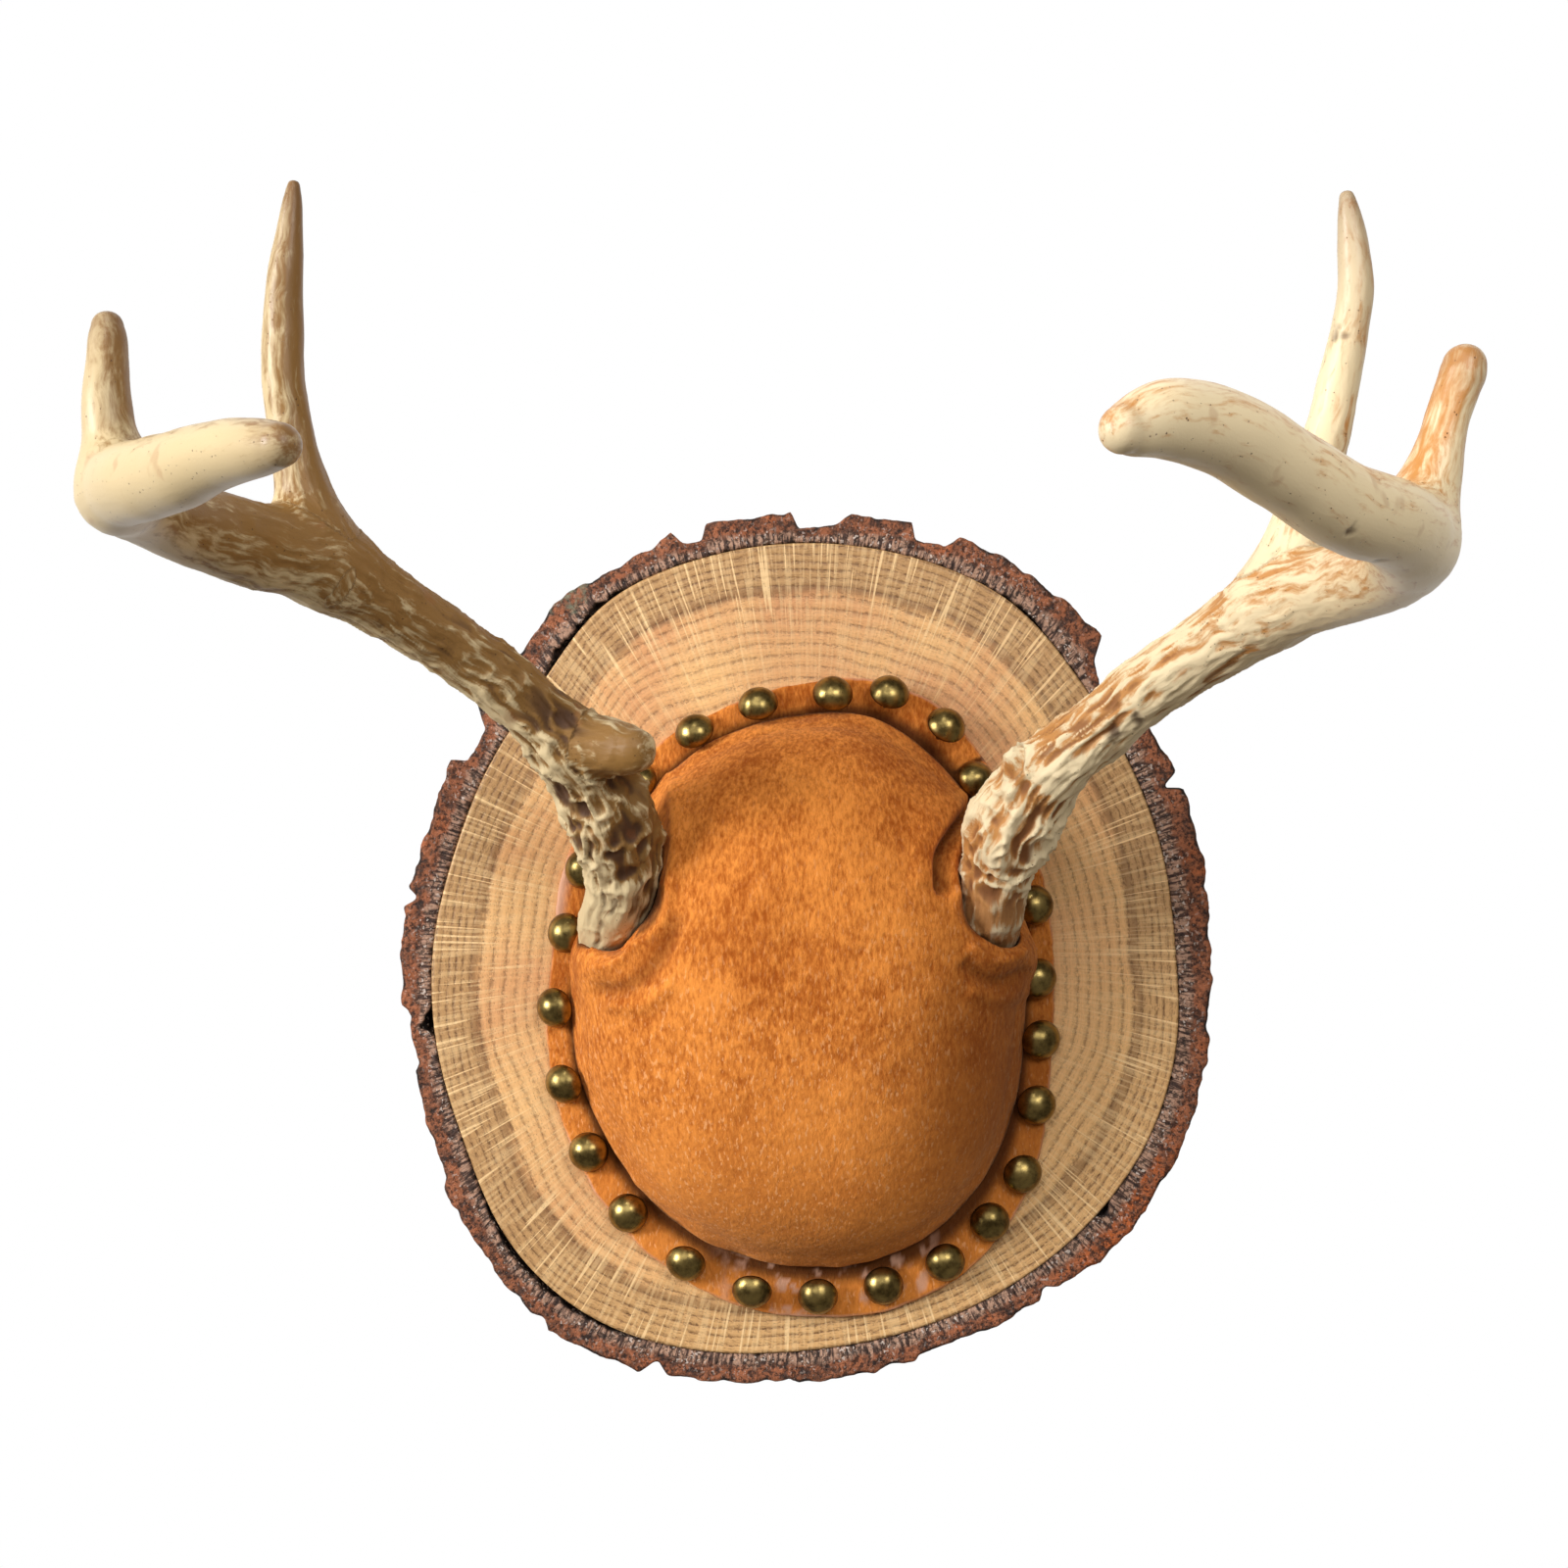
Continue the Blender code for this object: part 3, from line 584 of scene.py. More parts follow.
class NailLooks(PropertyGroup):
    """Upholstery nails."""

    segments: IntProperty(name="Segments", description="Faces round a nail's head", default=36, min=12)
    dent: length_property("Dents", "Depth of the dents in a head", 0.12)
    brass: colour_property("Brass", "Colour of the brass", (166, 144, 88))
    patina: colour_property("Patina", "Colour of the tarnish", (86, 72, 40))


class AntlerLooks(PropertyGroup):
    """Antlers."""

    voxel: length_property("Mesh size", "Size of an antler's faces", 0.62)
    fork_fillet: length_property("Fork fillet", "Width over which limbs grow into each other", 6)
    knob_size: length_property("Knob size", "Width of the knobs on the burr", 6)
    cream: colour_property("Cream", "Colour of clean antler", (206, 184, 142))
    ivory: colour_property("Ivory", "Colour of the right antler where it is clean", (232, 212, 172))
    brown: colour_property("Brown", "Colour of the left antler's stain", (139, 101, 50))
    orange: colour_property("Orange", "Colour of the right antler's stain", (192, 134, 72))
    valley: colour_property("Valley", "Colour of the left antler's hollows", (72, 44, 28))
    orange_valley: colour_property("Orange valley", "Colour of the right antler's hollows", (122, 74, 38))
    tip: colour_property("Tip", "Colour of a worn tip", (112, 82, 62))


class StudioLooks(PropertyGroup):
    """Camera, lights and backdrop."""

    camera_distance: FloatProperty(name="Camera distance", description="Distance from the slice's face",
                                   default=0.7, min=0.1, unit="LENGTH")
    camera_x: FloatProperty(name="Camera X", description="Place to the side", default=-0.006, unit="LENGTH")
    camera_z: FloatProperty(name="Camera Z", description="Place above the slice's centre",
                            default=0.0454, unit="LENGTH")
    lens: FloatProperty(name="Lens", description="Focal length", default=58.275, min=1, unit="CAMERA")
    window_power: power_property("Window", "Power of the light from the left", 47)
    room_power: power_property("Room", "Power of the soft light from the front", 9)
    near_power: power_property("Near light", "Power of the light in front of the antlers", 3)
    lamp_power: power_property("Lamp", "Power of the small light overhead", 1.2)
    sky_strength: glow_property("Sky", "Strength of the light from above", 0.3)
    back_glow: glow_property("Back glow", "Brightness of the backdrop behind the plaque", 1)
    front_glow: glow_property("Front glow", "Brightness of the backdrop in front of the plaque", 0.2)
    back_paper: colour_property("Back paper", "Colour of the backdrop behind the plaque", (255, 255, 255))
    front_paper: colour_property("Front paper", "Colour of the backdrop in front of it", (255, 243, 226))


def oak_finish(looks):
    oak = Finish("Oak end grain", Specular_IOR_Level=0.4)
    share = oak.value("share")
    age = oak.plus(oak.value("age"), oak.sway(oak.noise(5, 2), 0.22))
    heart = oak.mix(oak.between(oak.noise(38, 3), 0.35, 0.68), looks.heartwood[:], looks.pale_wood[:])
    corner = oak.toward((4.5, 0, -7.5))
    heart = oak.mix(oak.between(corner, -0.1, 0.75), heart, looks.pale_wood[:])
    sap_share = oak.plus(share, oak.sway(oak.noise(16, 3), 0.05))
    sap = oak.mix(oak.times(oak.between(corner, 0.1, 0.9), 0.6), looks.sapwood[:], looks.pale_wood[:])
    colour = oak.mix(oak.between(sap_share, 0.872, 0.905), heart, sap)
    border = oak.times(oak.between(sap_share, 0.865, 0.886), oak.between(sap_share, 0.91, 0.888))
    colour = oak.mix(oak.times(border, 0.55), colour, looks.ring_line[:])
    part = oak.math("FRACT", age)
    line = oak.ramp(part, (0.0, 0.95), (0.14, 0.7), (0.34, 0.12), (0.74, 0.03), (0.92, 0.55), (1.0, 0.95))
    each = oak.node("TexWhiteNoise", {"W": oak.math("FLOOR", age)}, "Value", noise_dimensions="1D")
    spoke = oak.vector("spoke")
    broken = oak.between(oak.noise(1.6, 3, 0.7, oak.stretched(spoke, (1.0, 1.0, 1.6))), 0.32, 0.6)
    line = oak.times(line, oak.times(oak.plus(oak.times(each, 0.5), 0.5), broken))
    line = oak.times(line, oak.plus(oak.times(oak.between(sap_share, 0.84, 0.92), 0.25), 0.72))
    colour = oak.mix(line, colour, looks.ring_line[:])
    fine = oak.ramp(oak.math("FRACT", oak.times(age, 3.0)), (0, 0.3), (0.25, 0.05), (0.75, 0.0), (1.0, 0.3))
    colour = oak.mix(oak.times(fine, 0.45), colour, looks.ring_line[:])
    early = oak.ramp(part, (0.0, 1.0), (0.4, 0.35), (1.0, 0.8))
    dashes = oak.between(oak.noise(1.2, 2, 0.6, oak.stretched(spoke, (1.0, 1.0, 2.4))), 0.52, 0.66)
    dash_share = oak.plus(oak.times(oak.between(sap_share, 0.83, 0.92), 0.5), 0.3)
    colour = oak.mix(oak.times(oak.times(dashes, early), dash_share), colour, looks.ring_line[:])
    hatch = oak.noise(0.8, 1, 0.5, oak.stretched(spoke, (1.0, 1.0, 0.06)))
    hatch_share = oak.plus(oak.times(oak.between(share, 0.74, 0.9), 0.15), 0.22)
    colour = oak.mix(oak.times(oak.between(hatch, 0.46, 0.66), hatch_share), colour, looks.ray[:])
    rays = oak.between(oak.noise(0.55, 0, 0.5, oak.stretched(spoke, (1.0, 1.0, 0.024))), 0.665, 0.73)
    ray_share = oak.plus(oak.times(oak.between(share, 0.74, 0.9), 0.55), 0.3)
    colour = oak.mix(oak.times(rays, ray_share), colour, looks.ray[:])
    pores = oak.between(oak.cells(0.75), 0.24, 0.1)
    colour = oak.mix(oak.times(pores, oak.plus(oak.times(line, 0.7), 0.16)), colour, (0.05, 0.03, 0.02))
    roughness = oak.plus(oak.times(oak.noise(6, 2), 0.2), 0.4)
    return oak.finish(colour, roughness, (line, -0.12), (pores, -0.1), (hatch, 0.05),
                      (oak.noise(0.5, 2), 0.05))


def bark_finish(looks):
    bark = Finish("Oak bark", Specular_IOR_Level=0.35)
    across = bark.plus(bark.value("across"), bark.sway(bark.noise(2.2, 3), 0.55))
    outer = bark.mix(bark.between(bark.noise(3.5, 4, 0.75), 0.4, 0.66), looks.outer[:], (0.07, 0.032, 0.021))
    spot = bark.far_from(RUST_PLACE)
    rust = bark.between(bark.plus(spot, bark.times(bark.noise(5, 3), 0.05)), 0.062, 0.034)
    rust = bark.plus(rust, bark.times(bark.between(bark.noise(9, 3), 0.55, 0.72), 0.55))
    outer = bark.mix(bark.times(rust, bark.between(bark.noise(2, 3), 0.38, 0.6)), outer, looks.orange[:])
    fibre = bark.noise(0.9, 2, 0.6, bark.stretched(bark.vector("spoke"), (1.0, 1.0, 0.15)))
    inner = bark.mix(bark.between(fibre, 0.42, 0.6), looks.inner[:], (0.07, 0.036, 0.027))
    colour = bark.mix(bark.between(across, 0.28, 0.55), inner, outer)
    # Crevices between the plates and the gap along the wood are painted dark as shade
    deep = bark.value("deep")
    colour = bark.mix(deep, colour, looks.crevice[:])
    crumbs = bark.noise(1.3, 3, 0.75)
    colour = bark.mix(bark.times(bark.between(crumbs, 0.49, 0.6), 0.8), colour, looks.crevice[:])
    # Pale specks: partly pale grains of the bark, partly painted glints of its varnish
    pale_specks_and_glints = bark.between(bark.noise(1.0, 1, 0.6), 0.6, 0.66)
    pale_specks_and_glints = bark.times(pale_specks_and_glints, bark.between(bark.noise(6, 2), 0.38, 0.56))
    pale_specks_and_glints = bark.times(pale_specks_and_glints, bark.plus(bark.times(bark.between(across, 0.75, 0.3), 0.75), 0.25))
    colour = bark.mix(bark.times(pale_specks_and_glints, 0.85), colour, paint(226, 208, 196))
    spot = bark.far_from(LICHEN_PLACE)
    lichen = bark.between(bark.plus(spot, bark.times(bark.noise(3, 3), 0.02)), 0.02, 0.013)
    lichen = bark.times(lichen, bark.between(bark.noise(1.4, 3), 0.4, 0.6))
    colour = bark.mix(lichen, colour, paint(128, 134, 112))
    roughness = bark.plus(bark.times(bark.noise(2.5, 2), -0.35), 0.82)
    return bark.finish(colour, roughness, (bark.noise(1.6, 5, 0.7), 1.0), (crumbs, -0.6), (fibre, 0.25),
                       (pale_specks_and_glints, 0.2))


def suede_finish(looks):
    suede = Finish("Tan suede", Specular_IOR_Level=0.15, Sheen_Weight=0.12, Sheen_Roughness=0.45,
                   Sheen_Tint=(1.0, 0.72, 0.45, 1.0))
    broad = suede.noise(26, 3, 0.5)
    brushed = suede.noise(5.5, 4, 0.6, distortion=0.6)
    strokes = suede.node("Mapping", {"Vector": suede.place, "Rotation": (0, 0.6, 0), "Scale": (1, 0.6, 0.38)})
    nap = suede.noise(0.95, 3, 0.65, strokes)
    tone = suede.plus(suede.times(broad, 0.4), suede.plus(suede.times(brushed, 0.3), suede.times(nap, 0.6)))
    colour = suede.mix(suede.between(tone, 0.47, 0.83), looks.dark[:], looks.light[:])
    # Painted bounce light: the suede is painted lighter towards the bottom, and its pale flecks of worn nap
    # gather there
    lower = suede.toward((2, 0, -11))
    wear_and_bounce_light = suede.between(suede.plus(lower, broad), 0.15, 0.95)
    flecks = suede.between(suede.noise(0.8, 2, 0.5, strokes), 0.57, 0.7)
    fleck_share = suede.plus(suede.times(wear_and_bounce_light, 0.55), 0.12)
    colour = suede.mix(suede.times(suede.between(lower, 0.2, 0.7), 0.45), colour, looks.light[:])
    colour = suede.mix(suede.times(flecks, fleck_share), colour, paint(236, 170, 112))
    # Painted shade: the dome's lower right, turned from the light, is painted darker
    painted_shade = suede.between(suede.far_from(PAINTED_SHADE_PLACE), 0.06, 0.015)
    colour = suede.mix(suede.times(painted_shade, 0.65), colour, paint(112, 52, 10))
    # Painted shade in creases and pockets, at the dome's foot and on the strip beside it
    colour = suede.mix(suede.times(suede.value("deep"), 0.9), colour, paint(64, 28, 8))
    colour = suede.mix(suede.value("cut"), colour, looks.edge[:])
    return suede.finish(colour, 0.93, (brushed, 0.35), (nap, 0.22), (suede.noise(0.3, 2), 0.06))


def brass_finish(looks):
    brass = Finish("Antique brass", Metallic=1.0)
    tarnish = brass.between(brass.noise(4, 4, 0.65), 0.3, 0.72)
    rim = brass.between(brass.value("rise"), 0.4, 0.0)
    colour = brass.mix(brass.math("MAXIMUM", tarnish, rim), looks.brass[:], looks.patina[:])
    roughness = brass.plus(brass.times(brass.noise(2.2, 3), 0.22), 0.2)
    return brass.finish(colour, roughness, (brass.noise(1.2, 3), 0.02))


def antler_finish(looks):
    antler = Finish("Antler", Specular_IOR_Level=0.4)
    streak = antler.noise(1.5, 4, 0.62, antler.vector("streak"))
    blotch = antler.noise(9, 4, 0.6)
    deep = antler.value("deep")
    rough = antler.value("rough")
    weight = antler.plus(antler.times(rough, 0.5), 1.7)
    # Stain, with painted shade on the left antler's sides turned from the light, and more of it in the
    # hollows
    amount = antler.plus(antler.value("stain"), antler.sway(streak, weight))
    amount = antler.plus(amount, antler.sway(blotch, 0.6))
    amount = antler.plus(amount, antler.times(deep, 0.9))
    right = antler.between(antler.toward((1, 0, 0)), -0.01, 0.01)
    stain = antler.mix(right, looks.brown[:], looks.orange[:])
    clean = antler.mix(right, looks.cream[:], looks.ivory[:])
    colour = antler.mix(antler.between(amount, 0.25, 0.95), clean, stain)
    hollow = antler.mix(right, looks.valley[:], looks.orange_valley[:])
    # Hollows painted dark: partly stain, partly painted shade
    colour = antler.mix(antler.times(antler.between(deep, 0.35, 1.0), 0.9), colour, hollow)
    red = antler.between(antler.noise(7, 2, 0.5), 0.64, 0.76)
    colour = antler.mix(antler.times(red, 0.25), colour, paint(150, 84, 40))
    pits = antler.times(antler.between(antler.cells(1.3), 0.2, 0.08), antler.between(streak, 0.5, 0.62))
    colour = antler.mix(antler.times(pits, 0.75), colour, looks.valley[:])
    colour = antler.mix(antler.value("tip"), colour, looks.tip[:])
    colour = antler.mix(antler.value("mark"), colour, looks.valley[:])
    roughness = antler.plus(antler.times(rough, 0.3), antler.plus(antler.times(blotch, 0.15), 0.3))
    grain = antler.times(streak, antler.plus(rough, 0.12))
    return antler.finish(colour, roughness, (grain, 0.3), (pits, -0.15), (antler.noise(0.5, 2), 0.03))


def spokes(angles, radii, reach):
    """Place measured round the slice, as if every ring were as long as the one at a reach, and outwards."""
    return numpy.stack((numpy.cos(angles) * reach, numpy.sin(angles) * reach, radii), axis=1) * MM


def ring_age(share, looks):
    """Number of growth rings from the bark in, for a share of the way from the centre out."""
    inwards = (1 - share) * RIM
    outer_gap = looks.outer_ring_gap / MM
    outer = numpy.minimum(inwards, looks.sapwood_depth / MM)
    return outer / outer_gap + (inwards - outer) / (looks.ring_gap / MM)


class PLAQUE_OT_oak_slice(Operator):
    """Model the oak slice with its growth rings"""

    bl_idname = "plaque.oak_slice"
    bl_label = "Oak slice"

    def execute(self, context):
        looks = context.scene.plaque_slice
        radii = outline(flat_loops("wood_slice", 0)[-1], 4)
        front = [(share, -SLICE_FACE) for share in numpy.linspace(0, 0.4, 5)[:-1]]
        front += [(share, -SLICE_FACE) for share in numpy.linspace(0.4, 0.993, 78)]
        edge = [(0.998, -SLICE_FACE + 0.25), (1, -SLICE_FACE + 0.8)]
        side = [(1, y) for y in numpy.linspace(-18, 0, 7)]
        back = [(share, 0) for share in numpy.linspace(0.98, 0, 8)]
        mesh = turned("oak_slice", front + edge + side + back, 720)
        points = read_points(mesh)
        share, angles = round_place(points)
        real = read_outline(radii, angles) * share
        flat = on_ring(angles, real, points[:, 1])
        ripple = clouds(flat, 24, 5) * 1.7 + clouds(flat, 7, 6) * 0.35
        knot = numpy.hypot(flat[:, 0] - KNOT_X, flat[:, 2] - KNOT_Z)
        ripple += KNOT_PUSH * numpy.exp(-(knot / KNOT_WIDTH) ** 2)
        age = ring_age(share, looks) + ripple / 3.4
        part = age % 1
        pore_row = numpy.exp(-(numpy.minimum(part, 1 - part) / 0.16) ** 2)
        on_face = (points[:, 1] < -SLICE_FACE + 0.01) & (share < 0.99)
        sunk = looks.relief / MM * pore_row + 0.05 * clouds(flat, 1.6, 7) + 0.12 * (clouds(flat, 30, 8) + 1)
        flat[:, 1] += on_face * numpy.clip(sunk, 0, 1)
        set_points(mesh, flat)
        keep_values(mesh, "age", age)
        keep_values(mesh, "share", share)
        keep_values(mesh, "spoke", spokes(angles, real, 85))
        add_piece("oak_slice", mesh, "oak", oak_finish(looks), "wood_slice")
        return {"FINISHED"}


class PLAQUE_OT_bark(Operator):
    """Model the bark round the slice"""

    bl_idname = "plaque.bark"
    bl_label = "Bark"

    def execute(self, context):
        looks = context.scene.plaque_bark
        inner, outer = flat_loops("bark_ring", 0)[-2:]
        wood = outline(flat_loops("wood_slice", 0)[-1], 4)
        plain_wood = outline(flat_loops("wood_slice", 0)[-1])
        inside = wood + outline(inner, 0.4) - plain_wood
        outside = wood + outline(outer, 0.15) - plain_wood
        face = [(1 + across, -SLICE_FACE) for across in numpy.linspace(0.0, 1, 18)]
        side = [(2, y) for y in numpy.linspace(-SLICE_FACE, 0, 20)[1:]]
        back = [(1 + across, 0) for across in numpy.linspace(1, 0, 6)[1:]]
        wall = [(1, y) for y in numpy.linspace(0, -SLICE_FACE, 7)[1:-1]]
        mesh = turned("bark", face + side + back + wall, 1260, closed=True)
        points = read_points(mesh)
        shares, angles = round_place(points)
        across = shares - 1
        lean = rough(on_ring(angles, 100, points[:, 1] * 0.35), 9, 11)
        along = on_ring(angles, RIM, points[:, 1] * 0.3)
        ridges = rough(along, 4.2, 21, 4)
        plates = pebbles(along, 9, 31)
        low, high = read_outline(inside, angles), read_outline(outside, angles)
        behind = soft_step(points[:, 1], -SLICE_FACE + 1, -2)
        height = looks.roughness_height / MM
        rise = height * (0.55 * ridges - 0.9 * (1 - plates)) - 0.5 * behind * (1 + lean)
        high = high + numpy.minimum(rise, 0.25)
        opening = numpy.maximum(low - read_outline(wood, angles) - 0.3, 0)
        depth = points[:, 1] + SLICE_FACE
        jagged = numpy.clip(0.5 * rough(along, 1.6, 41, 3), 0, 0.6) * soft_step(depth, 4, 0)
        ragged = opening * (0.8 + 0.6 * rough(along, 2.6, 43, 3)) * soft_step(depth, 9, 3)
        low = read_outline(wood, angles) + 0.06 + jagged + numpy.maximum(ragged, 0)
        radii = low + (high - low) * across
        flat = on_ring(angles, radii, points[:, 1])
        on_face = soft_step(-points[:, 1], SLICE_FACE - 0.5, SLICE_FACE - 0.1)
        crumb = 0.5 + 0.5 * rough(flat, 3.0, 51, 4)
        edge_fall = 0.5 * (soft_step(across, 0.88, 1) + soft_step(across, 0.1, 0))
        flat[:, 1] += on_face * numpy.clip(looks.face_height / MM * crumb + edge_fall, 0, 1.6)
        set_points(mesh, flat)
        # Painted shade: crevices between the plates and the gap along the wood
        gap = soft_step(low - read_outline(wood, angles), 0.1, 0.7)
        deep = numpy.maximum(soft_step(-rise, 0.35, 1.1) * (across > 0.9), soft_step(across, 0.1, 0.0) * gap)
        keep_values(mesh, "deep", numpy.clip(deep, 0, 1))
        keep_values(mesh, "across", across)
        keep_values(mesh, "spoke", spokes(angles, radii, 110))
        add_piece("bark", mesh, "bark", bark_finish(looks), "bark_ring")
        return {"FINISHED"}


def nail_frames():
    """Top of the head and point of each nail, from the CAD, by node name."""
    places = {}
    for name in sorted(node for node in frame["nodes"] if node.startswith("nail_")):
        points = read_points(frame["nodes"][name].data) / MM
        tip = points[numpy.argmax(numpy.linalg.norm(points - points.mean(axis=0), axis=1))]
        top = points[numpy.argmax(numpy.linalg.norm(points - tip, axis=1))]
        places[name] = (top, tip)
    return places


def away_from_path(points, path):
    """Distance in x and z from each point to a smooth path, and how far along it, from 0 to 1."""
    path = smooth_rows(path, 8)
    gaps = numpy.hypot(points[:, None, 0] - path[None, :, 0], points[:, None, 2] - path[None, :, 1])
    nearest = gaps.argmin(axis=1)
    return gaps[numpy.arange(len(points)), nearest], nearest / (len(path) - 1)


def in_stretch(degrees, stretch):
    """1 within a stretch round the slice, falling to 0 past its ends."""
    middle, half, soft = stretch
    return soft_step(numpy.abs(degrees - middle), half + soft, half - soft)


class PLAQUE_OT_suede_strip(Operator):
    """Model the suede strip under the nails"""

    bl_idname = "plaque.suede_strip"
    bl_label = "Suede strip"

    def execute(self, context):
        looks = context.scene.plaque_suede
        base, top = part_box("suede_border")[1].y / MM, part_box("suede_border")[0].y / MM
        inner, outer = flat_loops("suede_border", base)[-2:]
        inside, outside = outline(inner, 3), outline(outer, 3)
        upper = [(1 + across, top) for across in numpy.linspace(0.03, 0.95, 16)]
        edge = [(1.985, top + 0.35), (2, (top + base) / 2), (1.985, base - 0.3)]
        under = [(1 + across, base) for across in numpy.linspace(0.95, 0.03, 6)]
        mesh = turned("suede_strip", upper + edge + under + [(1, (top + base) / 2)], 720, closed=True)
        points = read_points(mesh)
        shares, angles = round_place(points)
        across = shares - 1
        ring = on_ring(angles, 75, 0)
        low, high = read_outline(inside, angles), read_outline(outside, angles)
        high = high + 0.35 * rough(ring, 7, 61, 3)
        radii = low + (high - low) * across
        flat = on_ring(angles, radii, points[:, 1])
        on_top = soft_step(base - points[:, 1], 0.8, 1.9)
        sunk = 0.35 * (clouds(flat, 9, 71) + 1) + 0.12 * clouds(flat, 3, 72)
        for head, tip in nail_frames().values():
            gap = numpy.hypot(flat[:, 0] - head[0], flat[:, 2] - head[2])
            sunk += 0.5 * numpy.exp(-(gap / 6.5) ** 2)
        past_lap = numpy.degrees(angles) - looks.lap_angle + 5 * (across - 0.5)
        sunk += 0.7 * soft_step(past_lap, 0.4, -0.4) * soft_step(past_lap, -9, -4)
        flat[:, 1] += on_top * numpy.clip(sunk, 0, looks.strip_loft / MM + 0.4)
        set_points(mesh, flat)
        degrees = numpy.degrees(angles)
        frayed = in_stretch(degrees, FRAYED) * soft_step(across, 0.72, 0.95)
        worn = in_stretch(degrees, WORN) * soft_step(rough(flat, 3.2, 75), 0.15, 0.6)
        cut = soft_step(across, 0.95, 0.99) * (0.35 + 0.5 * clouds(flat, 6, 73))
        cut = numpy.maximum(cut, numpy.maximum(0.9 * frayed, 0.85 * worn))
        keep_values(mesh, "cut", numpy.clip(cut, 0, 1))
        # Painted shade on the strip's inner side under the dome's edge and along the step where its ends lap
        lap_line = soft_step(numpy.abs(past_lap + 0.5), 0.9, 0.3)
        keep_values(mesh, "deep", numpy.maximum(soft_step(across, 0.62, 0.4), lap_line))
        strip = add_piece("suede_strip", mesh, "suede", suede_finish(looks), "suede_border")
        return {"FINISHED"}


def limb_line(rows, rounded=False):
    """Points, radius, row number and two crosswise directions along a limb, whose end may be a round tip."""
    steps = 8
    finer = smooth_rows(rows, steps)
    if rounded:
        finer = finer[numpy.linalg.norm(finer[:, :3] - finer[-1, :3], axis=1) > 0.9 * finer[-1, 3]]
    centres = numpy.stack((finer[:, 0], -(SLICE_FACE + finer[:, 1]), finer[:, 2]), axis=1)
    ahead = numpy.gradient(centres, axis=0)
    ahead /= numpy.linalg.norm(ahead, axis=1)[:, None]
    across = numpy.array((1.0, 0.0, 0.0))
    sides = []
    for direction in ahead:
        across = across - across.dot(direction) * direction
        across /= numpy.linalg.norm(across)
        sides.append(across)
    sides = numpy.array(sides)
    return {"centres": centres, "radii": finer[:, 3], "rows": numpy.arange(len(finer)) / steps,
            "across": sides, "upright": numpy.cross(ahead, sides), "ahead": ahead,
            "along": numpy.append(0, numpy.linalg.norm(numpy.diff(centres, axis=0), axis=1).cumsum())}


def beside_limb(points, limb):
    """For each point: gap to the limb's skin, way out from its line, index of the nearest row and share."""
    centres, radii = limb["centres"], limb["radii"]
    nearest = numpy.empty(len(points), dtype=int)
    for start in range(0, len(points), 20000):
        block = points[start:start + 20000]
        nearest[start:start + 20000] = ((block[:, None] - centres[None]) ** 2).sum(axis=2).argmin(axis=1)
    first = numpy.clip(nearest - 1, 0, len(centres) - 2)
    best_gap = numpy.full(len(points), numpy.inf)
    best_way = numpy.zeros((len(points), 3))
    best_place = numpy.zeros(len(points))
    for index in (first, numpy.clip(first + 1, 0, len(centres) - 2)):
        start, span = centres[index], centres[index + 1] - centres[index]
        part = numpy.clip(((points - start) * span).sum(axis=1) / (span ** 2).sum(axis=1), 0, 1)
        way = points - start - span * part[:, None]
        distance = numpy.linalg.norm(way, axis=1)
        gap = distance - (radii[index] + (radii[index + 1] - radii[index]) * part)
        closer = distance < best_gap
        best_gap = numpy.where(closer, distance, best_gap)
        best_way[closer] = way[closer]
        best_place = numpy.where(closer, index + part, best_place)
    radius = numpy.interp(best_place, numpy.arange(len(radii)), radii)
    return best_gap - radius, best_way / numpy.maximum(best_gap, 1e-6)[:, None], best_place


def tube(name, rows, gap):
    """Closed mesh of a round tube along rows of x, height, z and radius, with a gap round them."""
    curve = bpy.data.curves.new(name, "CURVE")
    curve.dimensions = "3D"
    curve.bevel_depth = MM
    curve.bevel_resolution = 6
    curve.use_fill_caps = True
    rows = smooth_rows(rows, 4)
    spline = curve.splines.new("POLY")
    spline.points.add(len(rows) - 1)
    for point, (x, height, z, radius) in zip(spline.points, rows):
        point.co = (x * MM, -(SLICE_FACE + height) * MM, z * MM, 1)
        point.radius = radius + gap
    source = bpy.data.objects.new(name, curve)
    bpy.context.scene.collection.objects.link(source)
    bpy.context.view_layer.update()
    mesh = bpy.data.meshes.new_from_object(source.evaluated_get(bpy.context.evaluated_depsgraph_get()))
    bpy.data.objects.remove(source)
    weld(mesh)
    return mesh


def smooth(mesh, rounds, chosen=None):
    """Smooths the chosen points of a mesh, or all of them."""
    solid = bmesh.new()
    solid.from_mesh(mesh)
    solid.verts.ensure_lookup_table()
    verts = solid.verts if chosen is None else [solid.verts[index] for index in numpy.flatnonzero(chosen)]
    every_way = {"use_axis_x": True, "use_axis_y": True, "use_axis_z": True}
    for _ in range(rounds):
        bmesh.ops.smooth_vert(solid, verts=verts, factor=0.5, **every_way)
    solid.to_mesh(mesh)
    solid.free()


